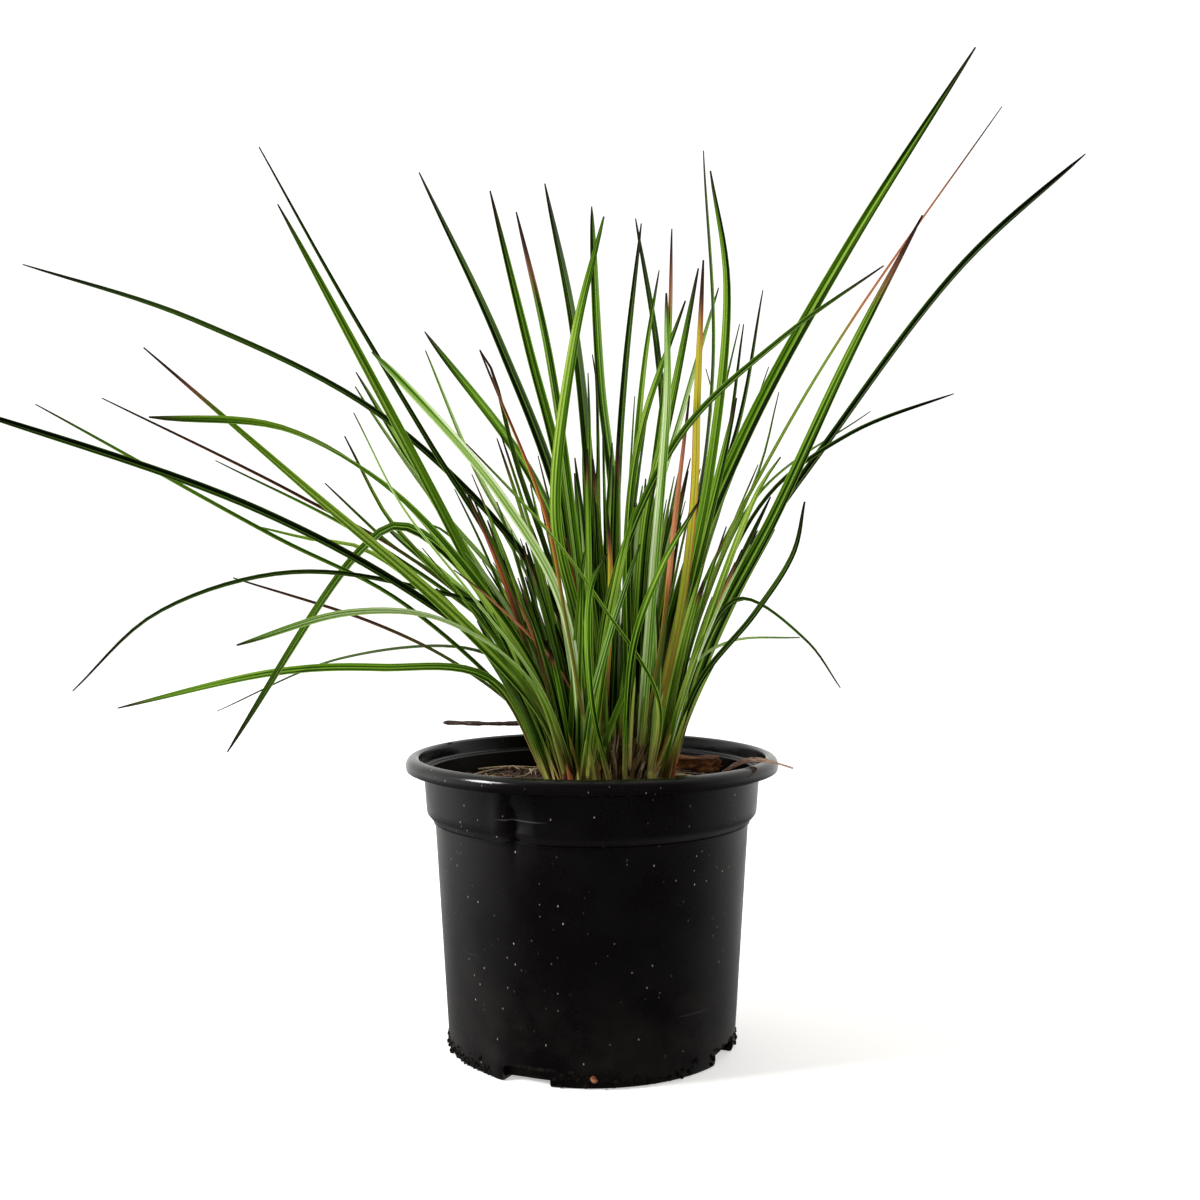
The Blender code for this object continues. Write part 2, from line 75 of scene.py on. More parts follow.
def linear(hexColour):
    # an sRGB hex value as the linear colour that a shader takes
    channels = [int(hexColour[i:i + 2], 16) / 255 for i in (1, 3, 5)]
    return tuple(c / 12.92 if c <= 0.04045 else ((c + 0.055) / 1.055) ** 2.4 for c in channels) + (1.0,)


def plug(tree, value, socket):
    # links a socket, or a node by its first open output, or else sets the plain value
    if isinstance(value, bpy.types.Node):
        value = next(output for output in value.outputs if output.enabled)
    if isinstance(value, bpy.types.NodeSocket):
        tree.links.new(value, socket)
    else:
        socket.default_value = value


def addNode(tree, kind, settings=None, inputs=(), stops=()):
    # inputs go by name in a dictionary, or fill the open sockets from the top in a tuple
    node = tree.nodes.new("ShaderNode" + kind)
    for name, value in (settings or {}).items():
        setattr(node, name, value)
    if isinstance(inputs, dict):
        pairs = [(node.inputs[name], value) for name, value in inputs.items()]
    else:
        pairs = zip([socket for socket in node.inputs if socket.enabled], inputs)
    for socket, value in pairs:
        plug(tree, value, socket)
    if stops:          # (position, hex colour) pairs of a colour ramp
        elements = node.color_ramp.elements
        while len(elements) < len(stops):
            elements.new(0.5)
        for element, (position, colour) in zip(elements, stops):
            element.position = position
            element.color = linear(colour)
    return node


def newMaterial(name):
    material = bpy.data.materials.new(name)
    material.use_nodes = True
    return material, material.node_tree


def readStored(tree, name):
    # the three numbers that storeValues kept on each vertex
    stored = addNode(tree, "Attribute", {"attribute_name": name})
    return list(addNode(tree, "SeparateColor", None, (stored,)).outputs)


def addStreaks(tree, along, stretch, detail, roughness):
    # noise drawn out along a strip, different on each one
    spread = addNode(tree, "CombineXYZ", None, along)
    stretched = addNode(tree, "VectorMath", times, (spread, stretch))
    return addNode(tree, "TexNoise", None, (stretched, 1.0, detail, roughness))


def surface(tree, colour, roughness, specular, height=None, strength=0.0, depth=0.0):
    # what every finish ends in; depth is that of its bumps, in metres
    shader = tree.nodes["Principled BSDF"]
    plug(tree, colour, shader.inputs["Base Color"])
    plug(tree, roughness, shader.inputs["Roughness"])
    shader.inputs["Specular IOR Level"].default_value = specular
    if height:
        bump = addNode(tree, "Bump", None, {"Height": height, "Strength": strength, "Distance": depth})
        plug(tree, bump, shader.inputs["Normal"])
    return shader


def deselectAll():
    if bpy.context.object and bpy.context.object.mode != "OBJECT":
        bpy.ops.object.mode_set(mode="OBJECT")
    bpy.ops.object.select_all(action="DESELECT")


def makeActive(piece):
    deselectAll()
    piece.select_set(True)
    bpy.context.view_layer.objects.active = piece


def editAll():
    bpy.ops.object.mode_set(mode="EDIT")
    bpy.ops.mesh.select_all(action="SELECT")


def closeEnd():
    # fills the selected ring, turns every face outwards and leaves edit mode
    bpy.ops.mesh.edge_face_add()
    bpy.ops.mesh.select_all(action="SELECT")
    bpy.ops.mesh.normals_make_consistent(inside=False)
    bpy.ops.object.mode_set(mode="OBJECT")


def pickVerts(piece, test):
    # in edit mode, selects the vertices whose place passes the test
    shape = bmesh.from_edit_mesh(piece.data)
    for vert in shape.verts:
        vert.select = bool(test(vert.co))
    shape.select_flush_mode()
    bmesh.update_edit_mesh(piece.data)


def getPoints(piece):
    flat = np.empty(len(piece.data.vertices) * 3)
    piece.data.vertices.foreach_get("co", flat)
    return flat.reshape(-1, 3)


def setPoints(piece, points):
    piece.data.vertices.foreach_set("co", points.ravel())
    piece.data.update()


def storeValues(piece, name, values):
    # one value of four numbers for each vertex, which the materials read by this name
    store = piece.data.color_attributes.new(name=name, type="FLOAT_COLOR", domain="POINT")
    store.data.foreach_set("color", np.asarray(values, float).ravel())


def applyModifiers(piece):
    makeActive(piece)
    for modifier in list(piece.modifiers):
        bpy.ops.object.modifier_apply(modifier=modifier.name)


def smoothPiece(piece, degrees):
    makeActive(piece)
    bpy.ops.object.shade_smooth_by_angle(angle=math.radians(degrees))


def rename(piece, name):
    piece.name = name
    piece.data.name = name


def copyPiece(template, name):
    piece = template.copy()
    piece.data = template.data.copy()
    rename(piece, name)
    bpy.context.scene.collection.objects.link(piece)
    return piece


def joinPieces(pieces, name):
    deselectAll()
    for piece in pieces:
        piece.select_set(True)
    bpy.context.view_layer.objects.active = pieces[0]
    bpy.ops.object.join()
    rename(pieces[0], name)
    return pieces[0]


def finishPiece(piece, material, slot, *nodes):
    piece.data.materials.clear()
    piece.data.materials.append(material)
    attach(piece, "root")
    if nodes:
        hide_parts(*nodes)


def gather(pieces, name, degrees, material, slot, *nodes, thickness=0.0):
    # loose copies become one finished piece
    joined = joinPieces(pieces, name)
    if thickness:
        thicken(joined, thickness, degrees)
    else:
        smoothPiece(joined, degrees)
    finishPiece(joined, material, slot, *nodes)
    print(name, "laid:", len(pieces))


def setCamera():
    deselectAll()
    tilt = math.radians(90 + studio["cameraTilt"])
    bpy.ops.object.camera_add(location=studio["cameraPlace"], rotation=(tilt, 0, 0))
    camera = bpy.context.object
    camera.data.lens = studio["lens"]
    camera.data.sensor_width = 36
    camera.data.clip_start = 0.01
    bpy.context.scene.camera = camera


def makeFloor():
    deselectAll()
    bpy.ops.mesh.primitive_plane_add(size=studio["floorSize"])
    floor = bpy.context.object
    floor.name = "floor"
    floor.visible_glossy = False          # the black pot doesn't mirror the white floor
    material, tree = newMaterial("paintedStudioFloor")
    shader = surface(tree, linear(studio["floorColour"]), 0.9, 0.5)
    shader.inputs["Emission Color"].default_value = linear(studio["floorColour"])
    shader.inputs["Emission Strength"].default_value = studio["floorGlow"]
    floor.data.materials.append(material)


def lightStudio():
    # white all round as the camera sees it, but lit from behind and above more than from the front
    world = bpy.data.worlds.new("studioWorld")
    world.use_nodes = True
    tree = world.node_tree
    background = tree.nodes["Background"]
    direction = addNode(tree, "TexCoord")
    toLeft, toBack, upward = addNode(tree, "SeparateXYZ", None, (direction.outputs["Generated"],)).outputs
    depth = addNode(tree, "MapRange", smoothly, (
        toBack, -0.60, 0.50, studio["skyFront"], studio["skyBehind"]))
    level = addNode(tree, "MapRange", smoothly, (upward, -0.36, -0.08, studio["skyBelow"], 1.0))
    screen = addNode(tree, "MapRange", smoothly, (toLeft, -0.76, -0.98, 0.0, studio["skyLeft"]))
    both = addNode(tree, "Math", None, (depth, screen))
    lit = addNode(tree, "Math", times, (both, level))
    seen = addNode(tree, "LightPath")
    strength = addNode(tree, "Mix", None, (seen, lit, studio["backdrop"]))
    plug(tree, strength, background.inputs["Strength"])
    background.inputs["Color"].default_value = (1.0, 0.99, 0.975, 1.0)
    bpy.context.scene.world = world

    for name in ("key", "fill"):
        deselectAll()
        bpy.ops.object.light_add(type="AREA", location=studio[name + "Place"])
        light = bpy.context.object
        light.name = name + "Light"
        light.data.energy = studio[name + "Power"]
        light.data.size = studio[name + "Size"]
        aim = light.location.copy()
        aim.z -= 0.22
        light.rotation_euler = aim.to_track_quat("Z", "Y").to_euler()
    light.visible_glossy = False          # the fill leaves no hot spot on the pot
    bpy.context.scene.view_settings.view_transform = "Standard"


# Leaves

# number: root (x, y), points that the midrib passes up to the tip and width, all in millimetres,
# then roll in degrees, kind, tone from dark to pale, and the share of the length that is dry from the tip;
# kind and tone hold painted light and shade as well as each leaf's own colour
leaves = {
    1: ((-8, 14), [(-15, 18, 193), (-91, 25, 282), (-188, 33, 334), (-274, 40, 363)],
        3.1, 45, "dark", 0.05, 0.0),
    2: ((-14, -4), [(-22, -8, 158), (-78, -15, 204), (-150, -25, 244), (-280, -42, 290)],
        4.0, 40, "dark", 0.15, 0.0),
    3: ((-17, 2), [(-30, 5, 147), (-89, 12, 201), (-150, 18, 232), (-265, 30, 295)],
        2.4, 30, "green", 0.22, 0.02),
    4: ((-12, -14), [(-21, -19, 150), (-58, -25, 193), (-126, -37, 254), (-189, -50, 311)],
        6.6, 60, "green", 0.6, 0.12),
    5: ((-14, 8), [(-16, 13, 156), (-77, 24, 215), (-140, 34, 251), (-240, 50, 300)],
        1.7, 30, "dried", 0.0, 0.0),
    6: ((-13, 16), [(-27, 30, 166), (-106, 60, 227), (-195, 90, 272)], 2.3, 30, "green", 0.16, 0.0),
    7: ((-8, -10), [(-21, -18, 163), (-49, -29, 208), (-89, -43, 253), (-130, -55, 276), (-181, -70, 280)],
        4.0, -87, "green", 0.62, 0.02),
    8: ((-4, -2), [(-24, -4, 186), (-85, -9, 210), (-140, -11, 215), (-195, -16, 197), (-231, -20, 163)],
        2.0, 50, "dark", 0.0, 0.0),
    9: ((-18, 8), [(-32, 19, 146), (-63, 28, 170), (-103, 39, 189), (-179, 60, 212)],
        1.4, 30, "dried", 0.0, 0.0),
    10: ((-20, -6), [(-47, 4, 166), (-100, 20, 170), (-150, 35, 167), (-237, 60, 147)],
         3.6, 60, "green", 0.36, 0.02),
    11: ((-12, 20), [(-35, 34, 165), (-60, 45, 177), (-129, 80, 170), (-203, 120, 139)],
         2.4, 20, "dark", 0.3, 0.02),
    12: ((-14, 12), [(-50, 10, 204.6), (-90, 20, 237), (-109, 25, 226), (-175, 30, 129)],
         3.6, 75, "green", 0.14, 0.02),
    13: ((-10, -18), [(-27, -38, 169), (-63, -60, 196), (-97, -81, 200), (-136, -110, 189)],
         2.9, 18, "light", 0.55, 0.02),
    14: ((-6, 6), [(-43, 11, 221), (-76, 18, 275), (-120, 29, 348), (-160, 40, 419)],
         2.4, 50, "dark", 0.3, 0.0),
    15: ((-10, -8), [(-37, -14, 181), (-67, -24, 243), (-102, -37, 312), (-132, -50, 371)],
         5.0, 65, "green", 0.42, 0.01),
    16: ((-4, 18), [(-35, 40, 182), (-83, 81, 254), (-127, 120, 321)], 3.4, 40, "green", 0.38, 0.01),
    17: ((-4, 22), [(-21, 58, 161), (-65, 102, 200), (-116, 150, 239)], 4.2, 40, "green", 0.38, 0.01),
    18: ((0, 20), [(-11, 42, 172), (-37, 70, 226), (-61, 94, 267), (-91, 130, 334)],
         3.0, 20, "light", 0.62, 0.0),
    19: ((2, 22), [(-4, 51, 182), (-28, 100, 257), (-96, 170, 350)], 4.6, 40, "green", 0.2, 0.01),
    20: ((0, 10), [(-12, 22, 235), (-45, 49, 326), (-88, 80, 417)], 4.4, 50, "dark", 0.36, 0.02),
    21: ((-2, -20), [(-13, -45, 200), (-37, -79, 246), (-79, -140, 297)], 5.4, 8, "light", 0.78, 0.0),
    22: ((-5, -19), [(-22, -40, 165), (-50, -66, 207), (-75, -93, 243), (-89, -120, 277)],
         2.4, 30, "light", 0.66, 0.0),
    23: ((4, -26), [(-11, -52, 196), (-18, -85, 238), (-39, -150, 296)], 1.2, 10, "dried", 0.55, 0.1),
    24: ((30, -20), [(28, -45, 161), (4, -75, 203), (-14, -99, 229), (-45, -140, 264)],
         2.8, 40, "green", 0.45, 0.02),
    25: ((4, 2), [(-15, 4, 262), (-29, 6, 318), (-47, 10, 391)], 4.0, 70, "green", 0.28, 0.04),
    26: ((6, -10), [(-5, -22, 204), (-18, -56, 305), (-30, -80, 361)], 4.2, 20, "green", 0.3, 0.1),
    27: ((8, 10), [(0, 22, 240), (-9, 47, 333), (-24, 70, 409)], 4.4, 20, "dark", 0.42, -0.04),
    28: ((12, 18), [(11, 46, 240), (4, 90, 313), (-1, 150, 416)], 4.0, 10, "green", 0.25, 0.01),
    29: ((1, -17), [(-5, -34, 187), (-15, -59, 238), (-7, -97, 304), (5, -130, 348)],
         4.0, 10, "green", 0.45, -0.08),
    30: ((22, 20), [(35, 64, 276), (34, 111, 332), (24, 180, 416)], 3.0, 10, "dark", 0.35, 0.02),
    31: ((14, 6), [(12, 19, 249), (16, 37, 312), (24, 60, 387)], 3.2, 20, "dark", 0.45, 0.02),
    32: ((17, 15), [(20, 50, 250), (27, 100, 322), (36, 140, 379)], 3.0, 10, "green", 0.5, 0.02),
    33: ((25, -17), [(27, -44, 221), (30, -93, 285), (28, -130, 320)], 3.2, 10, "light", 0.55, 0.02),
    34: ((22, 12), [(28, 33, 250), (38, 68, 326), (41, 100, 393)], 2.4, 20, "green", 0.35, 0.16),
    35: ((22, -9), [(16, -22, 239), (22, -37, 280), (39, -60, 329)], 2.8, 30, "green", 0.4, 0.02),
    36: ((22, -2), [(24, -7, 239), (34, -12, 284), (47, -20, 350)], 3.6, 60, "green", 0.28, 0.03),
    37: ((28, 6), [(46, 13, 221), (58, 30, 316), (54, 50, 420)], 2.4, 30, "green", 0.15, 0.02),
    38: ((28, -8), [(39, -14, 194), (52, -25, 261), (58, -40, 339), (50, -50, 385)],
         3.6, 40, "green", 0.48, 0.02),
    39: ((26, 16), [(30, 44, 240), (46, 76, 297), (67, 120, 366)], 2.8, 10, "light", 0.4, 0.02),
    40: ((26, -14), [(38, -32, 195), (43, -56, 247), (43, -77, 286), (43, -110, 336)],
         2.8, 10, "dried", 0.98, 0.1),
    41: ((32, 14), [(47, 44, 211), (77, 100, 294), (94, 150, 370)], 2.6, 10, "dark", 0.5, 0.02),
    42: ((36, 16), [(53, 48, 192), (87, 96, 255), (154, 150, 303)], 2.8, 20, "green", 0.35, 0.02),
    43: ((3, -21), [(8, -37, 204), (36, -71, 271), (74, -101, 307), (108, -130, 330)],
         3.0, 20, "green", 0.14, 0.02),
    44: ((38, -16), [(46, -44, 168), (67, -70, 199), (80, -92, 224), (82, -110, 244)],
         2.0, 20, "dark", 0.25, 0.02),
    45: ((18, -22), [(17, -67, 184), (27, -108, 218), (39, -150, 243)], 2.2, 15, "green", 0.3, 0.02),
    46: ((12, -24), [(0, -75, 164), (0, -136, 211), (6, -160, 224)], 2.0, 15, "green", 0.4, 0.02),
    47: ((32, -4), [(40, -7, 203), (69, -13, 277), (114, -21, 360), (166, -30, 443)],
         5.8, 60, "green", 0.16, 0.02),
    48: ((34, 8), [(46, 16, 193), (85, 33, 269), (124, 49, 333), (207, 80, 450)],
         2.6, 50, "green", 0.5, 0.36),
    49: ((38, -6), [(53, -19, 186), (80, -32, 241), (109, -52, 308), (135, -70, 362)],
         4.8, 55, "green", 0.2, 0.1),
    50: ((38, 10), [(69, 16, 214), (113, 28, 278), (179, 44, 363), (243, 60, 421)],
         3.6, 65, "dark", -0.05, 0.0),
    51: ((42, 2), [(50, 5, 184), (81, 12, 249), (120, 18, 279), (172, 30, 300)],
         3.2, 35, "dark", 0.2, 0.02),
    52: ((43, -10), [(47, -24, 177), (64, -35, 204), (91, -49, 187), (104, -60, 168)],
         2.2, 30, "dark", 0.22, 0.02),
}

# Thinner and shorter blades between the leaves, in the same form
smallBlades = [
    ((-12, 10), [(-40, 16, 178), (-86, 24, 228), (-98, 27, 242), (-118, 30, 280)],
     2.0, 40, "green", 0.4, 0.04),
    ((-16, 4), [(-50, 14, 178), (-110, 36, 226), (-137, 38, 231), (-166, 40, 238)],
     2.2, 40, "green", 0.7, 0.0),
    ((-8, 18), [(-40, 40, 185), (-101, 56, 229), (-111, 58, 238), (-133, 60, 259)],
     1.8, 30, "dark", 0.6, 0.0),
    ((-4, 20), [(-30, 45, 190), (-80, 70, 250), (-114, 78, 298), (-121, 80, 309)],
     2.4, 30, "light", 0.5, 0.0),
    ((-10, -10), [(-30, -16, 185), (-63, -20, 232), (-74, -21, 238)], 2.4, 40, "light", 0.5, 0.0),
    ((-2, 14), [(-15, 35, 200), (-38, 52, 270), (-50, 58, 315), (-56, 60, 325)],
     2.2, 30, "dark", 0.4, 0.06),
    ((24, -14), [(30, -28, 180), (36, -38, 240), (42, -40, 292)], 1.8, 40, "dried", 0.4, 0.45),
    ((28, 8), [(40, 18, 200), (58, 26, 280), (70, 30, 333)], 2.8, 40, "green", 0.5, 0.0),
    ((30, 2), [(44, 6, 200), (62, 9, 270), (70, 10, 330)], 2.6, 50, "dark", 0.5, 0.0),
    ((34, -4), [(44, -20, 172), (60, -40, 186), (87, -60, 189)], 1.5, 20, "light", 0.2, 0.0),
    ((-4, -22), [(0, -50, 160), (6, -60, 184), (12, -66, 204), (20, -70, 228)], 2.3, 15, "light", 0.2, 0.0),
    ((34, 10), [(48, 24, 190), (81, 38, 265), (90, 40, 302)], 2.8, 40, "green", 0.6, 0.0),
    ((30, -8), [(40, -14, 190), (57, -19, 261), (64, -20, 293)], 4.4, 60, "green", 0.45, 0.05),
    ((34, -12), [(46, -30, 180), (71, -47, 251), (80, -50, 265)], 2.6, 40, "green", 0.7, 0.0),
    ((24, 8), [(40, 20, 200), (57, 29, 300), (54, 30, 312)], 2.8, 40, "dark", 0.7, 0.0),
    ((12, -4), [(15, -8, 180), (18, -10, 235), (19, -10, 247)], 3.0, 60, "dark", 0.3, 0.0),
    ((14, 8), [(15, 14, 200), (19, 19, 278), (20, 20, 298)], 2.8, 60, "green", 0.6, 0.0),
    ((32, 8), [(46, 20, 200), (70, 34, 270), (85, 40, 314)], 2.4, 40, "dark", 0.8, 0.0),
    ((2, 6), [(-2, 12, 190), (-6, 18, 245), (-8, 20, 260)], 3.0, 60, "light", 0.2, 0.0),
    ((4, 12), [(0, 20, 200), (-1, 28, 288), (-2, 30, 310)], 2.8, 60, "green", 0.5, 0.0),
    ((8, 14), [(4, 26, 200), (2, 38, 308), (0, 40, 320)], 2.6, 60, "dark", 0.6, 0.04),
    ((1.6, -25.7), [(3.6, -24, 131), (10, -25, 149), (15.9, -26, 164.6), (18, -27, 172)],
     4.6, 20, "green", 0.35, 0.0),
    ((31.9, -23), [(27.5, -22, 150), (28.6, -24, 170), (28.3, -26, 191.5), (27.5, -27, 206)],
     3.4, 20, "light", 0.15, 0.0),
    ((31.3, -26.8), [(25.8, -23.5, 126), (27.2, -24, 140), (28.4, -24.5, 154), (29, -25, 166)],
     2.0, 20, "light", 0.5, 0.0),
    ((-8.3, -24.5), [(-9.8, -21, 126), (-13.2, -21.5, 146), (-16.2, -22, 164), (-20, -23, 186)],
     1.5, 30, "dried", 0.55, 1.1),
    ((-3.7, -26.8), [(-4, -23, 126), (-4.3, -23, 138), (-5, -24, 152)], 2.6, 10, "dried", 0.55, 1.1),
    ((-5, -25), [(-6, -22, 127.6), (-13, -23, 150), (-21, -25, 174.3), (-30, -28, 197)],
     1.4, 30, "dried", 0.5, 1.1),
    ((0, -25.6), [(-0.6, -22, 126), (-12.3, -24, 168.6), (-44.5, -30, 204), (-60, -34, 217)],
     1.7, 20, "dried", 0.3, 1.1),
    ((38.9, -16.3), [(33.6, -15, 127.6), (44.2, -19, 168.2), (57.8, -24, 205.2), (66, -27, 226)],
     1.5, 30, "dried", 0.5, 1.1),
    ((40, -12), [(35, -13, 130), (42, -16, 158), (52, -20, 190)], 1.2, 30, "dried", 0.2, 1.1),
    ((4, -10), [(7, -22, 180), (8, -28, 215), (7, -30, 241)], 2.4, 30, "dried", 0.95, 0.12),
    ((-12, -21), [(-14, -21, 146), (-19, -24, 168), (-28, -28, 192), (-36, -32, 212)],
     1.7, 50, "dried", 0.35, 0.9),
    ((-4, -21), [(-4, -21, 142), (-8, -24, 172), (-16, -28, 200)], 1.5, 50, "dried", 0.3, 0.9),
    ((30, -18), [(33, -19, 138), (41, -21, 164), (52, -25, 197), (62, -28, 226)],
     1.7, 50, "dried", 0.35, 0.9),
]

blade = {
    "thickness": 0.28,          # millimetres
    "keel": 0.28,               # how far the margins stand above the midrib, as a share of the width
    "footWidth": 0.44,          # width at the soil, as a share of the nominal width
    "bellyWidth": 1.12,         # and where it is widest
    "slimWidth": 0.9,           # the same for a slender leaf
    "bellyAt": 0.20,            # share of the length where it is widest
    "bellyReach": 0.35,         # share of the length over which it narrows again to the nominal width
    "taper": 5.5,               # how late it narrows to its tip: a high power is a blunt tip
    "tipWidth": 0.6,            # millimetres
    "twist": 20.0,              # most turn from foot to tip, in degrees
    "twistFrom": 0.3,           # share of the length where its roll is as listed
    "smallTwist": 10.0,         # turn of a small blade
    "angle": 35.0,              # edges sharper than this many degrees stay sharp
    "columns": 6,               # faces across, and points along
    "rows": 41,
    "seed": 11,
    "waist": 0.857,             # the feet stand closer together at the soil than in the crown above it
}

crown = {
    "centre": (8.5, 0.0),
    "radii": (28.0, 23.0),
    "rootCentre": (11.5, 0.0),  # middle of the leaves' roots as they are listed
    "soilLine": 117.5,
}

tuft = {
    "count": 210,
    "lengths": (80.0, 195.0),   # millimetres
    "widths": (1.8, 3.4),
    "leans": (3.0, 33.0),       # degrees from upright, from the middle of the crown to its edge
    "gap": (0.0, 26.0),         # no blades stand in front of the thatch between these
    "scatter": 0.55,            # how far they stray from pointing straight outwards, in radians
    "upright": 0.3,             # how much straighter those on the right stand
    "kinds": (20, 64, 13, 3),   # shares of dark, green, light and dried ones
    "tones": (0.25, 0.75),
    "dryTips": (-0.08, -0.08, 0.0, 0.08),
    "rolls": (-25, 60),         # degrees
    "twists": (-30, 30),
    "taper": 5.0,
    "columns": 4,
    "rows": 21,
    "seed": 23,
}


def modelStrip(columns, rows):
    # one flat blade, keeled: x runs across it and y along it, both from -0.5 to 0.5
    deselectAll()
    bpy.ops.mesh.primitive_grid_add(x_subdivisions=columns, y_subdivisions=rows, size=1.0)
    strip = bpy.context.object
    bpy.ops.object.mode_set(mode="EDIT")
    half = columns // 2
    for step in range(half):
        edge = (step + 0.5) / columns
        pickVerts(strip, lambda co: abs(co.x) > edge)
        bpy.ops.transform.translate(value=(0, 0, blade["keel"] / half))
    bpy.ops.object.mode_set(mode="OBJECT")
    return strip


def modelTube(sides, rows):
    # one closed tube along y, from -0.5 to 0.5, of radius 0.5
    deselectAll()
    bpy.ops.mesh.primitive_circle_add(vertices=sides, radius=0.5, fill_type="NGON",
                                      rotation=(math.pi / 2, 0, 0))
    tube = bpy.context.object
    bpy.ops.object.transform_apply(location=False, rotation=True, scale=False)
    editAll()
    bpy.ops.transform.translate(value=(0, -0.5, 0))
    for row in range(rows):
        bpy.ops.mesh.extrude_region_move(TRANSFORM_OT_translate={"value": (0, 1 / rows, 0)})
    pickVerts(tube, lambda co: co.y < -0.49)
    closeEnd()
    return tube


def evenly(line, stations, length=None):
    # points at even steps along a line, over this length of it or over all of it
    along = np.concatenate([[0.0], np.cumsum(np.linalg.norm(np.diff(line, axis=0), axis=1))])
    wanted = np.linspace(0.0, length or along[-1], stations)
    return np.column_stack([np.interp(wanted, along, line[:, axis]) for axis in range(3)])


def smoothLine(points, stations):
    # evenly spaced points along a smooth curve that passes through these
    knots = np.array(points, float)
    padded = np.vstack([2 * knots[0] - knots[1], knots, 2 * knots[-1] - knots[-2]])
    marks = np.concatenate([[0.0], np.cumsum(np.sqrt(np.linalg.norm(np.diff(padded, axis=0), axis=1)))])
    dense = []
    for i in range(1, len(padded) - 2):
        t0, t1, t2, t3 = marks[i - 1:i + 3]
        p0, p1, p2, p3 = padded[i - 1:i + 3]
        for t in np.linspace(t1, t2, 24, endpoint=False):
            a1 = (t1 - t) / (t1 - t0) * p0 + (t - t0) / (t1 - t0) * p1
            a2 = (t2 - t) / (t2 - t1) * p1 + (t - t1) / (t2 - t1) * p2
            a3 = (t3 - t) / (t3 - t2) * p2 + (t - t2) / (t3 - t2) * p3
            b1 = (t2 - t) / (t2 - t0) * a1 + (t - t0) / (t2 - t0) * a2
            b2 = (t3 - t) / (t3 - t1) * a2 + (t - t1) / (t3 - t1) * a3
            dense.append((t2 - t) / (t2 - t1) * b1 + (t - t1) / (t2 - t1) * b2)
    return evenly(np.array(dense + [knots[-1]]), stations)


def framesAlong(line, rolls):
    # side and face directions at each point: at roll 0 the face looks up and towards the crown
    tangent = np.gradient(line, axis=0)
    tangent /= np.linalg.norm(tangent, axis=1)[:, None]
    lean = line[-1] - line[0]
    level = np.array([lean[1], -lean[0], 0.0]) / max(math.hypot(lean[0], lean[1]), 1e-6)
    side = level - (tangent @ level)[:, None] * tangent
    side /= np.linalg.norm(side, axis=1)[:, None]
    face = np.cross(side, tangent)
    cosine, sine = np.cos(rolls)[:, None], np.sin(rolls)[:, None]
    return side * cosine + face * sine, face * cosine - side * sine


def layAlong(template, name, line, widths, rolls, look):
    # a copy of the template laid along this line, in metres, with what its material needs stored on it
    piece = copyPiece(template, name)
    flat = getPoints(piece)
    rows = len(line)
    side, face = framesAlong(line, rolls)
    row = np.rint((flat[:, 1] + 0.5) * (rows - 1)).astype(int)
    across = (flat[:, 0] * widths[row])[:, None]
    rise = (flat[:, 2] * widths[row])[:, None]
    setPoints(piece, line[row] + side[row] * across + face[row] * rise)
    share = row / (rows - 1)
    count = len(flat)
    storeValues(piece, "look", np.tile(np.array(look, float), (count, 1)))
    storeValues(piece, "place", np.column_stack([flat[:, 0] + 0.5, share, np.zeros(count), np.ones(count)]))
    return piece


def bladeWidths(width, share, widest, taper):
    belly = blade["bellyAt"]
    foot = blade["footWidth"] + (widest - blade["footWidth"]) * np.sin(
        math.pi / 2 * np.minimum(1.0, share / belly))
    above = np.clip((share - belly) / blade["bellyReach"], 0.0, 1.0)
    upper = 1.0 + (widest - 1.0) * np.cos(math.pi / 2 * above)
    body = np.where(share < belly, foot, upper)
    return (width * body * (1 - share**taper)**0.85 + blade["tipWidth"]) * mm


def layBlade(strip, rows, name, route, width, roll, twist, look, widest=1.0, taper=tuft["taper"]):
    line = smoothLine(route, rows) * mm
    share = np.linspace(0.0, 1.0, rows)
    rolls = np.radians(roll + twist * (share - blade["twistFrom"]))
    return layAlong(strip, name, line, bladeWidths(width, share, widest, taper), rolls, look)


def thicken(piece, thickness, degrees):
    solid = piece.modifiers.new("thickness", "SOLIDIFY")
    solid.thickness = thickness * mm
    solid.offset = 0.0
    applyModifiers(piece)
    smoothPiece(piece, degrees)


def footOf(root):
    x = crown["centre"][0] + (root[0] - crown["rootCentre"][0]) * blade["waist"]
    y = crown["centre"][1] + (root[1] - crown["rootCentre"][1]) * blade["waist"]
    return (x, y, crown["soilLine"])


def inCrown(out, around):
    # a foot in the crown, at this share of its radii from the middle and this angle round it
    x, y = (middle + radius * out * turned for middle, radius, turned in zip(
        crown["centre"], crown["radii"], (math.cos(around), math.sin(around))))
    return np.array([x, y, crown["soilLine"]])


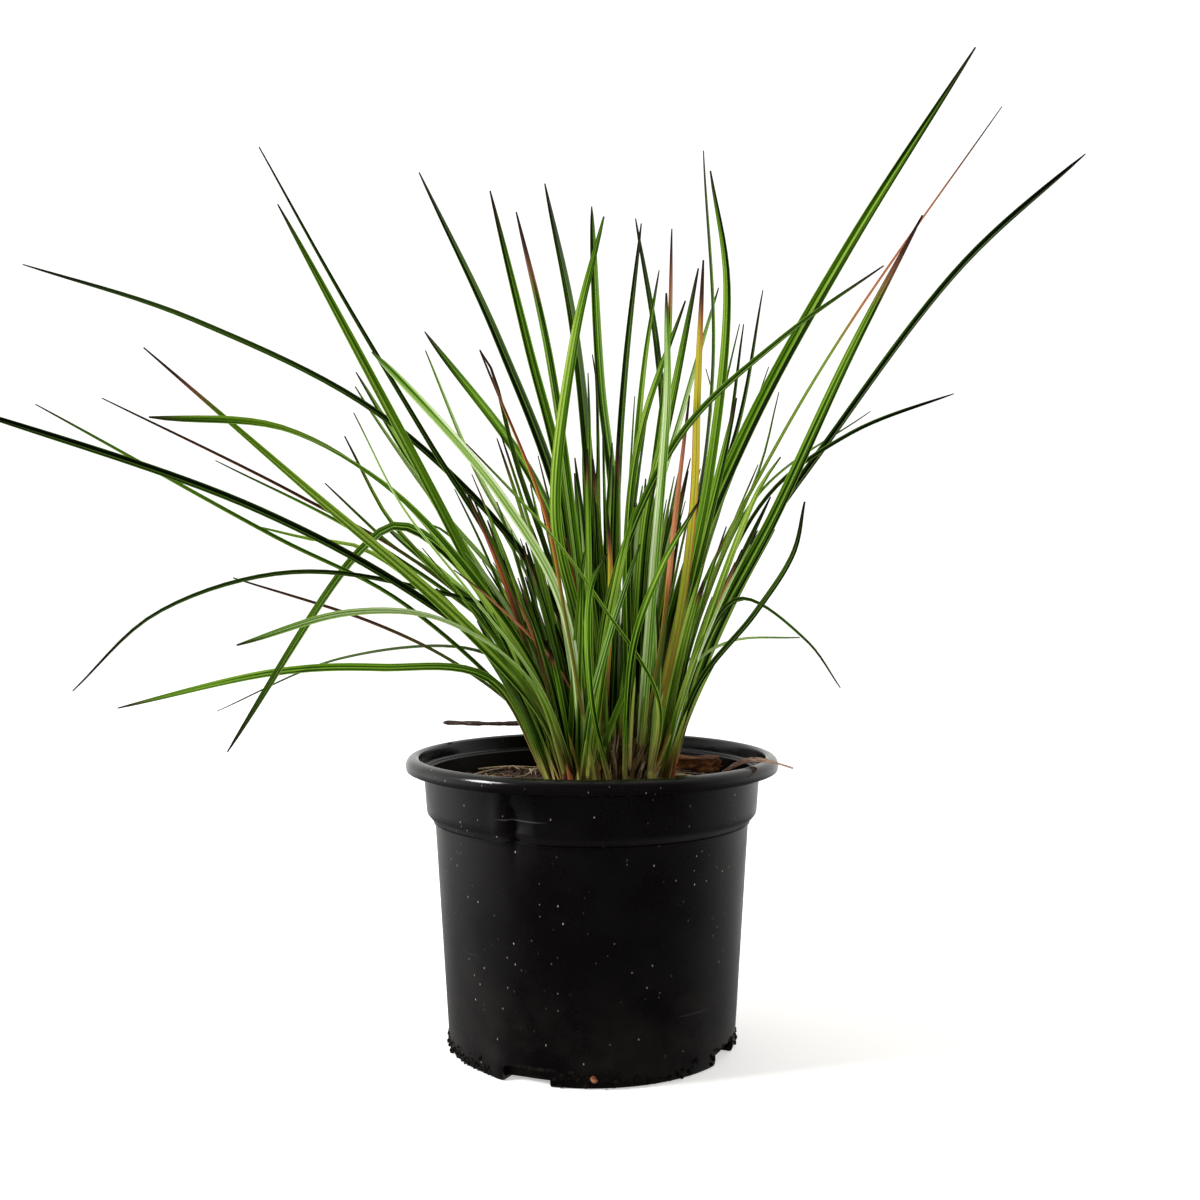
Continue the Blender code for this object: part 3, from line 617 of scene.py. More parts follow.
def leafMaterial(name, colours):
    # living sedge leaf: waxy skin over parallel veins, so it shows long stripes and a soft satin sheen
    material, tree = newMaterial(name)
    across, along = readStored(tree, "place")[:2]
    tone, dry, seed = readStored(tree, "look")

    offCentre = addNode(tree, "Math", minus, (across, 0.5))
    fromMidrib = addNode(tree, "Math", {"operation": "ABSOLUTE"}, (offCentre,))

    # ribs of veins: 1 mm apart on a broad leaf, coarser than the real 0.3 mm so that they show
    phase = addNode(tree, "Math", times, (across, 4 * math.tau))
    vein = addNode(tree, "Math", {"operation": "SINE"}, (phase,))

    # stripes and blotches drawn out along the leaf, different on each one, and painted light and shade on
    # its two halves
    stripe = addStreaks(tree, (across, along, seed), (4.0, 1.8, 91.0), 2.0, 0.55)
    # painted light and shade: one side of the midrib lighter, the other darker, like a keel lit from one
    # side
    litAndShadedHalves = addNode(tree, "MapRange", smoothly, (offCentre, -0.03, 0.03, -0.13, 0.13))
    striped = addNode(tree, "Math", timesPlus, (stripe, 2.0, -1.0))
    toned = addNode(tree, "Math", None, (striped, tone))
    halved = addNode(tree, "Math", None, (toned, litAndShadedHalves))
    paler = addNode(tree, "MapRange", smoothly, (along, 0.15, 0.75, -0.10, 0.06))
    point = addNode(tree, "MapRange", smoothly, (along, 0.76, 1.0, 0.0, -0.34))
    length = addNode(tree, "Math", None, (paler, point))
    drawn = addNode(tree, "Math", None, (halved, length))
    veined = addNode(tree, "Math", timesPlus, (vein, 0.12, drawn))
    base = addNode(tree, "ValToRGB", None, (veined,), colours["blade"])

    # the lower part of a drying leaf is still green
    alive = addNode(tree, "MapRange", smoothly, (along, 0.35, 0.62, colours["living"], 0.0))
    leafy = addNode(tree, "Mix", inColour, (alive, base, linear("#3c6a12")))

    # pale midrib and margins
    midrib = addNode(tree, "MapRange", smoothly, (fromMidrib, 0.02, 0.09, 0.6, 0.0))
    margin = addNode(tree, "MapRange", smoothly, (fromMidrib, 0.40, 0.48, 0.0, 0.55))
    pale = addNode(tree, "Math", {"operation": "MAXIMUM"}, (midrib, margin))
    fading = addNode(tree, "MapRange", smoothly, (along, 0.80, 0.98, 1.0, 0.15))
    lines = addNode(tree, "Math", times, (pale, fading))
    ribbed = addNode(tree, "Mix", inColour, (lines, leafy, linear(colours["midrib"])))

    # the foot fades into its pale, brown or red sheath
    footTint = addNode(tree, "ValToRGB", None, (seed,), footColours)
    footShare = addNode(tree, "MapRange", smoothly, (along, 0.03, 0.22, 0.8, 0.0))
    footed = addNode(tree, "Mix", inColour, (footShare, ribbed, footTint))

    # the tip dries from its end: straw, then rust, then nearly black at the point
    wavy = addNode(tree, "Math", timesPlus, (stripe, 0.16, along))
    fromTip = addNode(tree, "Math", minus, (1.08, wavy))
    dryEdge = addNode(tree, "Math", minus, (dry, fromTip))
    drying = addNode(tree, "MapRange", smoothly, (dryEdge, -0.05, 0.03, 0.0, 1.0))
    dryColour = addNode(tree, "ValToRGB", None, (along,), dryColours)
    dried = addNode(tree, "Mix", inColour, (drying, footed, dryColour))

    rough = addNode(tree, "MapRange", None, (stripe, 0.3, 0.7, 0.34, 0.50))
    height = addNode(tree, "Math", timesPlus, (vein, 0.5, stripe))
    shader = surface(tree, dried, rough, 0.14, height, 0.4, 0.00012)
    shader.inputs["IOR"].default_value = 1.33          # wax leaves little gloss at a grazing angle
    return material


footColours = [
    (0.0, "#7c8a24"), (0.36, "#bdb85c"), (0.58, "#c8b070"), (0.74, "#a05c34"), (0.86, "#a87848"),
    (1.0, "#947048")]
dryColours = [
    (0.0, "#8a4a28"), (0.25, "#9a5a30"), (0.60, "#b87850"), (0.84, "#a0664a"), (0.94, "#3a241a"),
    (1.0, "#120c09")]
# dark and light sets: own colour plus painted shade on blades seen from below and painted light on backlit
# ones
leafColours = {
    "dark": {
        "blade": [(0.0, "#020401"), (0.30, "#0d1804"), (0.62, "#263f06"), (1.0, "#5c7a1c")],
        "midrib": "#5f8428", "living": 0.0},
    "green": {
        "blade": [(0.0, "#071700"), (0.28, "#264600"), (0.60, "#4c7408"), (1.0, "#94a848")],
        "midrib": "#8ab040", "living": 0.0},
    "light": {
        "blade": [(0.0, "#1c3c02"), (0.35, "#4c7a10"), (0.68, "#8faa62"), (1.0, "#c3d0ae")],
        "midrib": "#aebf7c", "living": 0.0},
    "dried": {
        "blade": [
            (0.0, "#1a100b"), (0.30, "#48281b"), (0.60, "#9c4c28"), (0.80, "#b07a2c"), (1.0, "#a8a42c")],
        "midrib": "#6e4c30", "living": 0.60},
}
leafMaterials = {}
slender = (3, 5, 6, 8, 9, 10, 11, 13, 21, 22, 23, 45, 46, 51, 52)
# leaves with a taper of their own
tapers = {
    1: 9.0, 2: 9.0, 12: 9.0, 17: 12.0, 18: 3.0, 19: 9.0,
    4: 1.6, 7: 12.0, 13: 9.0, 14: 3.0, 20: 3.5, 21: 20.0, 22: 3.0, 28: 12.0, 47: 4.0,
    48: 2.5, 49: 4.5, 50: 16.0, 51: 12.0,
}
twists = {7: 250.0, 13: 70.0}      # degrees from foot to tip, of leaves that turn their face as they go


def makeLeaves():
    rows = blade["rows"]
    strip = modelStrip(blade["columns"], rows - 1)
    dice = random.Random(blade["seed"])
    for number, (root, route, width, roll, kind, tone, dry) in leaves.items():
        twist = twists.get(number, dice.uniform(-1, 1) * blade["twist"])
        look = (tone, dry, dice.random(), 1.0)
        widest = blade["slimWidth"] if number in slender else blade["bellyWidth"]
        taper = tapers.get(number, blade["taper"])
        route = [footOf(root)] + route
        leaf = layBlade(strip, rows, f"leaf{number:02d}", route, width, roll, twist, look, widest, taper)
        thicken(leaf, blade["thickness"], blade["angle"])
        finishPiece(leaf, leafMaterials[kind], "leaf_" + kind, f"leaf_{number:02d}")
    bpy.data.objects.remove(strip)
    print("leaves laid:", len(leaves))


def makeShortBlades():
    # the small blades above, and a tuft of short ones that fills the middle of the clump
    rows = tuft["rows"]
    strip = modelStrip(tuft["columns"], rows - 1)
    dice = random.Random(tuft["seed"])
    byKind = {kind: [] for kind in leafColours}
    for root, route, width, roll, kind, tone, dry in smallBlades:
        look = (tone, dry, dice.random(), 1.0)
        route = [footOf(root)] + route
        byKind[kind].append(
            layBlade(strip, rows, "blade", route, width, roll, blade["smallTwist"], look))
    for number in range(tuft["count"]):
        around = dice.uniform(0, math.tau)
        out = math.sqrt(dice.random())
        root = inCrown(out, around)
        if tuft["gap"][0] < root[0] < tuft["gap"][1] and root[1] < 0:
            root[1] = -root[1]
            around = -around
        heading = around + dice.gauss(0, tuft["scatter"])
        lean = tuft["leans"][0] + (tuft["leans"][1] - tuft["leans"][0]) * out * dice.uniform(0.6, 1.1)
        lean *= 1.0 - tuft["upright"] * max(0.0, math.cos(heading))
        length = dice.uniform(*tuft["lengths"]) * (1.0 - 0.25 * out)
        route = [root]
        for part, share in ((0.42, 0.75), (0.33, 1.0), (0.25, 1.2)):
            angle = math.radians(lean * share)
            level = math.sin(angle)
            step = np.array([level * math.cos(heading), level * math.sin(heading), math.cos(angle)])
            route.append(route[-1] + length * part * step)
        kind = dice.choices(list(leafColours), weights=tuft["kinds"])[0]
        look = (dice.uniform(*tuft["tones"]), dice.choice(tuft["dryTips"]), dice.random(), 1.0)
        width = dice.uniform(*tuft["widths"])
        roll, twist = dice.uniform(*tuft["rolls"]), dice.uniform(*tuft["twists"])
        byKind[kind].append(layBlade(strip, rows, "blade", route, width, roll, twist, look))
    for kind, pieces in byKind.items():
        gather(pieces, "short" + kind.capitalize() + "Blades", blade["angle"], leafMaterials[kind],
               "leaf_" + kind, thickness=blade["thickness"])
    bpy.data.objects.remove(strip)


# Crown

sheaths = {
    "lengths": (32.0, 62.0),    # millimetres
    "widths": (1.8, 3.4),
    "fill": 26,                 # more shoots than there are leaves
    "sides": 8,
    "rows": 11,
    "seed": 5,
}

thatch = {
    "count": 470,
    "inFront": 240,             # of those, how many stand in the gap at the front
    "frontTurn": 0.25,          # radians from the front to the middle of the gap, and how far they stray
    "frontSpread": 0.34,
    "frontOut": (0.55, 1.04),   # shares of the crown's radii
    "heights": (10.0, 42.0),    # millimetres
    "widths": (0.8, 2.6),
    "thickness": 0.25,
    "tones": (0.18, 1.0),
    "rows": 7,
    "seed": 8,
}


def sheathMaterial():
    # leaf sheath: thin papery skin, straw or red-brown at the soil and green where the blade leaves it
    material, tree = newMaterial("paperyLeafSheath")
    across, along = readStored(tree, "place")[:2]
    tone, seed = readStored(tree, "look")[::2]
    fibre = addStreaks(tree, (across, along, seed), (11.0, 1.6, 77.0), 4.0, 0.65)
    lower = addNode(tree, "ValToRGB", None, (tone,), [
        (0.0, "#2c1c10"), (0.25, "#7c5230"), (0.45, "#9e5a30"), (0.60, "#b0a062"), (1.0, "#a4ac50")])
    upper = addNode(tree, "ValToRGB", None, (seed,), [(0.0, "#44700e"), (0.5, "#789a28"), (1.0, "#a8b450")])
    height = addNode(tree, "Math", timesPlus, (fibre, 0.7, along))
    blend = addNode(tree, "MapRange", smoothly, (height, 0.55, 1.15, 0.0, 1.0))
    mixed = addNode(tree, "Mix", inColour, (blend, lower, upper))
    shade = addNode(tree, "MapRange", None, (fibre, 0.3, 0.7, 0.55, 1.25))
    final = addNode(tree, "VectorMath", {"operation": "SCALE"}, (mixed, shade))
    surface(tree, final, 0.5, 0.3, fibre, 0.5, 0.0002)
    return material


def thatchMaterial():
    # dead leaf bases: dry, torn fibre, matt, from nearly black at the soil to grey straw
    material, tree = newMaterial("dryLeafFibre")
    across, along = readStored(tree, "place")[:2]
    tone, seed = readStored(tree, "look")[::2]
    fibre = addStreaks(tree, (across, along, seed), (6.0, 2.0, 77.0), 4.0, 0.7)
    mix = addNode(tree, "Math", timesPlus, (fibre, 0.9, -0.45))
    tone = addNode(tree, "Math", None, (mix, tone))
    colour = addNode(tree, "ValToRGB", None, (tone,), [
        (0.0, "#120b07"), (0.30, "#352517"), (0.58, "#6e5738"), (0.80, "#9c8763"), (1.0, "#c2b28c")])
    surface(tree, colour, 0.8, 0.2, fibre, 0.6, 0.0003)
    return material


def makeSheaths():
    rows = sheaths["rows"]
    tube = modelTube(sheaths["sides"], rows - 1)
    dice = random.Random(sheaths["seed"])
    routes = [[footOf(root)] + route for root, route, *rest in list(leaves.values()) + smallBlades]
    for number in range(sheaths["fill"]):
        around = dice.uniform(0, math.tau)
        out = math.sqrt(dice.uniform(0.1, 1.0))
        foot = inCrown(out, around)
        outward = foot - inCrown(0.0, 0.0)
        routes.append([foot, foot + 0.25 * outward + (0, 0, 40), foot + 0.9 * outward + (0, 0, 90)])
    pieces = []
    for route in routes:
        line = evenly(smoothLine(route, 121), rows, dice.uniform(*sheaths["lengths"])) * mm
        line[0, 2] -= 3 * mm
        share = np.linspace(0.0, 1.0, rows)
        width = dice.uniform(*sheaths["widths"])
        widths = width * (1.0 - 0.45 * share) * np.sqrt(1.0 - share**6) * mm + 0.1 * mm
        rolls = np.full(rows, dice.uniform(0, math.pi))
        look = (dice.random(), 0.0, dice.random(), 1.0)
        pieces.append(layAlong(tube, "sheath", line, widths, rolls, look))
    gather(pieces, "leafSheaths", 50, sheathMaterial(), "dead_sheath", "crown")
    bpy.data.objects.remove(tube)


def makeThatch():
    rows = thatch["rows"]
    strip = modelStrip(2, rows - 1)
    dice = random.Random(thatch["seed"])
    pieces = []
    for number in range(thatch["count"]):
        around = dice.uniform(0, math.tau)
        out = math.sqrt(dice.random())
        if number < thatch["inFront"]:
            around = dice.gauss(-math.pi / 2 + thatch["frontTurn"], thatch["frontSpread"])
            out = dice.uniform(*thatch["frontOut"])
        foot = inCrown(out, around) - (0, 0, 1)
        height = dice.uniform(*thatch["heights"]) * (1.15 - 0.6 * out)
        heading = around + dice.gauss(0, 0.6)
        spill = height * dice.uniform(0.05, 0.35) * (0.3 + out)
        middle = foot + (0.3 * spill * math.cos(heading), 0.3 * spill * math.sin(heading), 0.55 * height)
        tip = foot + (spill * math.cos(heading), spill * math.sin(heading), height)
        line = smoothLine([foot, middle, tip], rows) * mm
        share = np.linspace(0.0, 1.0, rows)
        width = dice.uniform(*thatch["widths"])
        widths = width * (1.0 - share**3)**0.7 * mm + 0.15 * mm
        rolls = np.radians(dice.uniform(-90, 90) + share * dice.uniform(-120, 120))
        look = (dice.uniform(*thatch["tones"]), 0.0, dice.random(), 1.0)
        pieces.append(layAlong(strip, "fibre", line, widths, rolls, look))
    gather(pieces, "deadThatch", 50, thatchMaterial(), "dead_sheath", thickness=thatch["thickness"])
    bpy.data.objects.remove(strip)


# Pot

potLow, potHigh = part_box("pot")
pot = {
    "segments": 320,
    "rimRadius": potHigh[0],
    "height": potHigh[2],
    "mouthRadius": 0.0789,
    "lipHeight": 0.0065,
    "ledgeDepth": 0.0070,
    "collarTop": 0.0767,
    "collarLow": 0.0754,
    "collarLowZ": 0.1075,
    "shoulderZ": 0.1030,
    "bodyTop": 0.0715,
    "baseRadius": 0.0655,
    "wall": 0.0013,
    "notchSize": (0.022, 0.022, 0.014),
    "notchTurn": -25.0,         # degrees round from the front
    "notches": 4,
    "footBump": (-36.0, 0.0016),  # where the foot bulges, in degrees round from the front, and how far
    "holeRadius": 0.005,
    "holeRing": 0.034,
    "dentTurn": -27.0,          # where the collar is pushed in, in degrees round from the front
    "dentDepth": 0.0038,
    "dentSides": (0.8, 9.0),    # how far it reaches to its steep left and its gentle right, in degrees
    "dentReach": (0.007, 0.011),  # and down and up
    "dentSwell": 0.0005,        # bulge beside it
    "outOfRound": 0.00035,
}


def potOutline():
    # half section from the underside up the outside, over the rim and down the inside to the floor
    top, rim, mouth, wall = pot["height"], pot["rimRadius"], pot["mouthRadius"], pot["wall"]
    lip = top - pot["lipHeight"]
    outline = [(pot["baseRadius"] - 0.0016, 0.0), (pot["baseRadius"] - 0.0005, 0.0004)]
    for share in np.linspace(0.0, 1.0, 14):
        radius = pot["baseRadius"] + (pot["bodyTop"] - pot["baseRadius"]) * share
        outline.append((radius, 0.0016 + (pot["shoulderZ"] - 0.0024) * share))
    outline += [
        (pot["bodyTop"] + 0.0002, pot["shoulderZ"] - 0.0006),
        (pot["bodyTop"] + 0.0008, pot["shoulderZ"] - 0.0004),
        (pot["bodyTop"] + 0.0008, pot["shoulderZ"]),
        (pot["bodyTop"] + 0.0004, pot["shoulderZ"] + 0.0003),
        (pot["collarLow"] - 0.0016, pot["collarLowZ"] - 0.0022),
        (pot["collarLow"] - 0.0003, pot["collarLowZ"] - 0.0006),
    ]
    for share in np.linspace(0.0, 1.0, 9):
        radius = pot["collarLow"] + (pot["collarTop"] - pot["collarLow"]) * share
        outline.append((radius, pot["collarLowZ"] + 0.0006 + (lip - pot["collarLowZ"] - 0.0008) * share))
    outline += [
        (pot["collarTop"] + 0.0010, lip + 0.0004), (rim - 0.0014, lip), (rim - 0.0004, lip + 0.0005)]
    for degrees in range(0, 91, 15):          # the rolled lip
        angle = math.radians(degrees)
        outline.append((rim - 0.0034 * (1 - math.cos(angle)), top - 0.0042 + 0.0040 * math.sin(angle)))
    outline += [
        (rim - 0.0040, top),
        (mouth + 0.0011, top - 0.0001),
        (mouth + 0.0003, top - 0.0007),
        (mouth, top - 0.0020),
        (mouth - 0.0002, top - pot["ledgeDepth"] + 0.0014),
        (mouth - 0.0006, top - pot["ledgeDepth"] + 0.0004),
        (pot["collarTop"] - wall + 0.0006, top - pot["ledgeDepth"]),
        (pot["collarTop"] - wall, top - pot["ledgeDepth"] - 0.0006),
        (pot["collarLow"] - wall, pot["collarLowZ"] + 0.0006),
        (pot["bodyTop"] - wall, pot["shoulderZ"]),
        (pot["baseRadius"] - wall, wall + 0.0015),
        (pot["baseRadius"] - wall - 0.0015, wall),
    ]
    return outline


def turnRings(outline, segments):
    # a ring of edges, extruded and scaled from each point of the outline to the next, closed at both ends
    deselectAll()
    bpy.ops.mesh.primitive_circle_add(vertices=segments, radius=outline[0][0])
    piece = bpy.context.object
    editAll()
    bpy.ops.transform.translate(value=(0, 0, outline[0][1]))
    bpy.ops.mesh.edge_face_add()
    for (radius, height), (nextRadius, nextHeight) in zip(outline, outline[1:]):
        bpy.ops.mesh.extrude_edges_move(TRANSFORM_OT_translate={"value": (0, 0, nextHeight - height)})
        scale = nextRadius / radius
        bpy.ops.transform.resize(value=(scale, scale, 1.0), center_override=(0, 0, nextHeight))
    closeEnd()
    return piece


def bendPot(piece):
    # thin moulded plastic is never quite round, and its collar has been pushed in at the front left
    points = getPoints(piece)
    angle = np.arctan2(points[:, 0], -points[:, 1])          # 0 at the front, growing to the right
    radius = np.hypot(points[:, 0], points[:, 1])
    height = points[:, 2]
    loose = np.clip(height / pot["height"], 0, 1)**2 * (height < pot["height"] - pot["lipHeight"])
    push = pot["outOfRound"] * loose * np.sin(3 * angle + 0.8)
    turn = np.degrees(angle) - pot["dentTurn"]
    steep, gentle = pot["dentSides"]
    across = np.where(turn < 0, np.exp(-(turn / steep)**2), np.maximum(0.0, 1.0 - turn / gentle)**1.15)
    middle = pot["collarLowZ"] + 0.003
    down, up = pot["dentReach"]
    reach = np.where(height > middle, up, down)
    dent = across * np.exp(-((height - middle) / reach)**2) * (height < pot["height"] - pot["lipHeight"])
    bulge = pot["dentSwell"] * np.exp(-((turn + 4.6) / 2.2)**2) * np.exp(-((height - middle) / reach)**2)
    bulge *= height < pot["height"] - pot["lipHeight"]
    place, size = pot["footBump"]
    bulge += size * np.exp(-((np.degrees(angle) - place) / 5.0)**2) * np.exp(-(height / 0.007)**2)
    moved = radius + push - pot["dentDepth"] * dent + bulge
    moved = np.where(radius > pot["baseRadius"] * 0.5, moved, radius)
    scale = np.where(radius > 0, moved / np.maximum(radius, 1e-9), 1.0)
    points[:, 0] *= scale
    points[:, 1] *= scale
    points[:, 2] += 0.0016 * across * np.exp(-((height - pot["shoulderZ"]) / 0.005)**2)
    setPoints(piece, points)


def cutDrain(piece):
    # notches through the bottom corner and round holes through the floor
    cutters = []
    for number in range(pot["notches"]):
        turn = math.radians(pot["notchTurn"]) + number * math.tau / pot["notches"]
        deselectAll()
        place = (pot["baseRadius"] * math.sin(turn), -pot["baseRadius"] * math.cos(turn), 0)
        bpy.ops.mesh.primitive_cube_add(size=1, location=place, rotation=(0, 0, turn))
        notch = bpy.context.object
        notch.scale = pot["notchSize"]
        bpy.ops.object.transform_apply(location=True, rotation=True, scale=True)
        editAll()
        bpy.ops.mesh.bevel(offset=0.002, segments=3, affect="EDGES")
        bpy.ops.object.mode_set(mode="OBJECT")
        cutters.append(notch)
        deselectAll()
        halfway = turn + math.pi / pot["notches"]
        place = (pot["holeRing"] * math.sin(halfway), -pot["holeRing"] * math.cos(halfway), 0)
        bpy.ops.mesh.primitive_cylinder_add(
            vertices=24, radius=pot["holeRadius"], depth=0.01, location=place)
        bpy.ops.object.transform_apply(location=True, rotation=True, scale=True)
        cutters.append(bpy.context.object)
    cutter = joinPieces(cutters, "drainCutter")
    cut = piece.modifiers.new("drain", "BOOLEAN")
    cut.operation = "DIFFERENCE"
    cut.solver = "EXACT"
    cut.object = cutter
    applyModifiers(piece)
    bpy.data.objects.remove(cutter)


def potMaterial():
    # black polypropylene, injection moulded: low satin gloss, dust in the film of old water, pale
    # specks and scuffs
    material, tree = newMaterial("mouldedPolypropylene")
    coords = addNode(tree, "TexCoord").outputs["Object"]
    upward = addNode(tree, "SeparateXYZ", None, (coords,)).outputs["Z"]

    film = addNode(tree, "TexNoise", None, (coords, 38.0, 5.0, 0.6))
    low = addNode(tree, "MapRange", smoothly, (upward, 0.0, 0.055, 0.75, 0.12))
    dusty = addNode(tree, "MapRange", smoothly, (film, 0.35, 0.75, 0.0, 0.35))
    dust = addNode(tree, "Math", times, (low, dusty))
    plastic = addNode(tree, "Mix", inColour, (dust, linear("#080607"), linear("#342d26")))

    # splashed grit: specks of 0.3 to 0.6 mm, a few to each square centimetre
    drawnOut = addNode(tree, "Mapping", None, {"Vector": coords, "Scale": (1.0, 1.0, 0.6)})
    cells = addNode(tree, "TexVoronoi", None, {"Vector": drawnOut, "Scale": 380.0, "Randomness": 1.0})
    chosen = addNode(tree, "SeparateColor", None, (cells.outputs["Color"],))
    rare = addNode(tree, "Math", {"operation": "GREATER_THAN"}, (chosen.outputs["Red"], 0.42))
    rounded = addNode(tree, "MapRange", None, (cells, 0.03, 0.13, 1.0, 0.0))
    uneven = addNode(tree, "Math", {"operation": "POWER"}, (chosen.outputs["Green"], 2.5))
    faint = addNode(tree, "Math", times, (rounded, uneven))
    speck = addNode(tree, "Math", times, (rare, faint))
    specked = addNode(tree, "Mix", inColour, (speck, plastic, linear("#b5ad9c")))

    # scuffs: thin level lines, 0.2 mm wide
    stretched = addNode(tree, "Mapping", None, {
        "Vector": coords, "Rotation": (0.05, 0.03, 0.0), "Scale": (14.0, 14.0, 420.0)})
    lines = addNode(tree, "TexNoise", None, (stretched, 1.0, 1.0))
    thin = addNode(tree, "MapRange", None, (lines, 0.765, 0.80, 0.0, 0.22))
    scuffed = addNode(tree, "Mix", inColour, (thin, specked, linear("#6a6a72")))

    rough = addNode(tree, "MapRange", None, (film, 0.3, 0.7, 0.20, 0.36))
    lipFrom, lipTo = pot["height"] - 0.0070, pot["height"] - 0.0055
    polish = addNode(tree, "MapRange", None, (upward, lipFrom, lipTo, 1.0, 0.6))      # the lip is smoother
    glossy = addNode(tree, "Math", times, (rough, polish))
    grain = addNode(tree, "TexNoise", None, (coords, 700.0, 3.0))
    raised = addNode(tree, "Math", timesPlus, (speck, 2.0, grain))
    shader = surface(tree, scuffed, glossy, 0.30, raised, 0.25, 0.0001)
    shader.inputs["IOR"].default_value = 1.49
    return material


def makePot():
    piece = turnRings(potOutline(), pot["segments"])
    rename(piece, "nurseryPot")
    bendPot(piece)
    cutDrain(piece)
    smoothPiece(piece, 32)
    finishPiece(piece, potMaterial(), "pot_plastic", "pot")
    print("pot turned")


# Potting mix

soil = {
    "segments": 128,
    "level": 0.1176,
    "gap": 0.0016,
    "mound": 0.004,             # how far it rises under the crown
    "lump": 0.0022,
    "crumbs": 1500,
    "crumbSizes": (0.5, 2.6),   # millimetres
    "seed": 3,
}

fibres = {
    "count": 120,
    "lengths": (5, 22),         # millimetres
    "widths": (0.25, 0.6),
    "curl": 1.6,                # most turn along one, in radians
    "tones": (0.4, 1.1),
    "straws": [((-56, 44), (-16, 50)), ((-60, 20), (-40, 52)), ((22, 50), (58, 22))],
    "strawTone": 0.85,
    "rows": 9,
    "sides": 5,
}

fringe = {
    "count": 1300,
    "sizes": (0.6, 2.5),        # millimetres
    "reach": 3.0,               # how far across the foot they spread
    "height": 7.5,              # and how far up
    "cover": 0.36,              # more of it leaves fewer bare places
    "notchReach": 11.0,         # degrees to each side of a notch in which they cling to its top edge
}


def soilHeight(x, y):
    # surface of the mix at a place, in metres
    out = math.hypot(x - crown["centre"][0] * mm, y) / 0.045
    mound = soil["mound"] * max(0.0, 1.0 - out**2)
    coarse = noise.noise(Vector((x * 55, y * 55, 1.7)))
    fine = noise.noise(Vector((x * 190, y * 190, 6.1)))
    finest = noise.noise(Vector((x * 520, y * 520, 2.9)))
    return soil["level"] + mound + soil["lump"] * (0.8 * coarse + 0.45 * fine + 0.22 * finest)


def soilMaterial():
    # peat and bark potting mix: crumbly and matt, nearly black towards the bottom, paler on dry crumbs
    material, tree = newMaterial("peatAndBarkMix")
    coords = addNode(tree, "TexCoord").outputs["Object"]
    clods = addNode(tree, "TexNoise", None, (coords, 180.0, 4.0, 0.7))
    grains = addNode(tree, "TexVoronoi", None, {"Vector": coords, "Scale": 650.0})
    grainTone = addNode(tree, "SeparateColor", None, (grains.outputs["Color"],))
    mixed = addNode(tree, "Math", timesPlus, (grainTone.outputs["Red"], 0.35, clods))
    colour = addNode(tree, "ValToRGB", None, (mixed,), [
        (0.30, "#0c0704"), (0.55, "#1e130b"), (0.72, "#3a281a"), (0.86, "#523c29"), (0.97, "#75593f")])
    upward = addNode(tree, "SeparateXYZ", None, (coords,)).outputs["Z"]
    # darker towards the bottom: nearly black below 2 cm, fading out by 11 cm
    lowerDarkening = addNode(tree, "MapRange", smoothly, (upward, 0.02, 0.11, 0.95, 0.0))
    darkenedLow = addNode(tree, "Mix", inColour, (lowerDarkening, colour, linear("#070504")))
    surface(tree, darkenedLow, 0.92, 0.2, mixed, 0.8, 0.0006)
    return material


def makeSoil(material):
    wall, gap = pot["wall"], soil["gap"]
    edge = pot["collarLow"] - wall - gap
    outline = [
        (pot["baseRadius"] - wall - gap - 0.0015, wall + 0.0003),
        (pot["baseRadius"] - wall - gap, wall + 0.002),
        (pot["bodyTop"] - wall - gap, pot["shoulderZ"] + 0.0006),
        (edge, pot["collarLowZ"] + 0.0012),
        (edge + 0.0004, soil["level"] - 0.0035),
    ]
    for radius in np.linspace(edge - 0.001, 0.002, 44):
        outline.append((radius, soil["level"]))
    piece = turnRings(outline, soil["segments"])
    rename(piece, "pottingMix")
    points = getPoints(piece)
    for index, (x, y, z) in enumerate(points):
        if abs(z - soil["level"]) < 1e-6:
            points[index, 2] = soilHeight(x, y)
    setPoints(piece, points)
    bendPot(piece)
    smoothPiece(piece, 60)
    finishPiece(piece, material, "potting_mix", "potting_mix")
    print("mix filled")


def turnedBy(angle):
    # turns rows of points about the upright axis
    cosine, sine = math.cos(angle), math.sin(angle)
    return np.array([[cosine, sine, 0], [-sine, cosine, 0], [0, 0, 1.0]])


def modelCrumb():
    deselectAll()
    bpy.ops.mesh.primitive_ico_sphere_add(subdivisions=1, radius=0.5)
    return bpy.context.object


def layCrumb(template, dice, size, turn, place, stretches, lumps):
    # an uneven copy of the crumb, stretched along its three axes
    shape = getPoints(template)
    stretch = np.array([dice.uniform(*ends) for ends in stretches])
    rough = np.array([[dice.uniform(*lumps)] for vert in shape])
    crumb = copyPiece(template, "crumb")
    setPoints(crumb, (shape * rough * stretch * size) @ turnedBy(turn) + place)
    return crumb


def makeCrumbs(material):
    # loose crumbs of peat, bark and grit on the surface
    template = modelCrumb()
    dice = random.Random(soil["seed"])
    edge = pot["collarLow"] - pot["wall"] - 0.0035
    pieces = []
    for number in range(soil["crumbs"]):
        around = dice.uniform(0, math.tau)
        radius = edge * math.sqrt(dice.random())
        x, y = radius * math.cos(around), radius * math.sin(around)
        size = dice.uniform(*soil["crumbSizes"]) * dice.uniform(0.4, 1.0) * mm
        place = (x, y, soilHeight(x, y) + 0.22 * size)
        pieces.append(layCrumb(template, dice, size, around * 7, place,
                               ((0.7, 1.7), (0.7, 1.1), (0.45, 0.9)), (0.75, 1.2)))
    gather(pieces, "mixCrumbs", 30, material, "potting_mix")
    bpy.data.objects.remove(template)


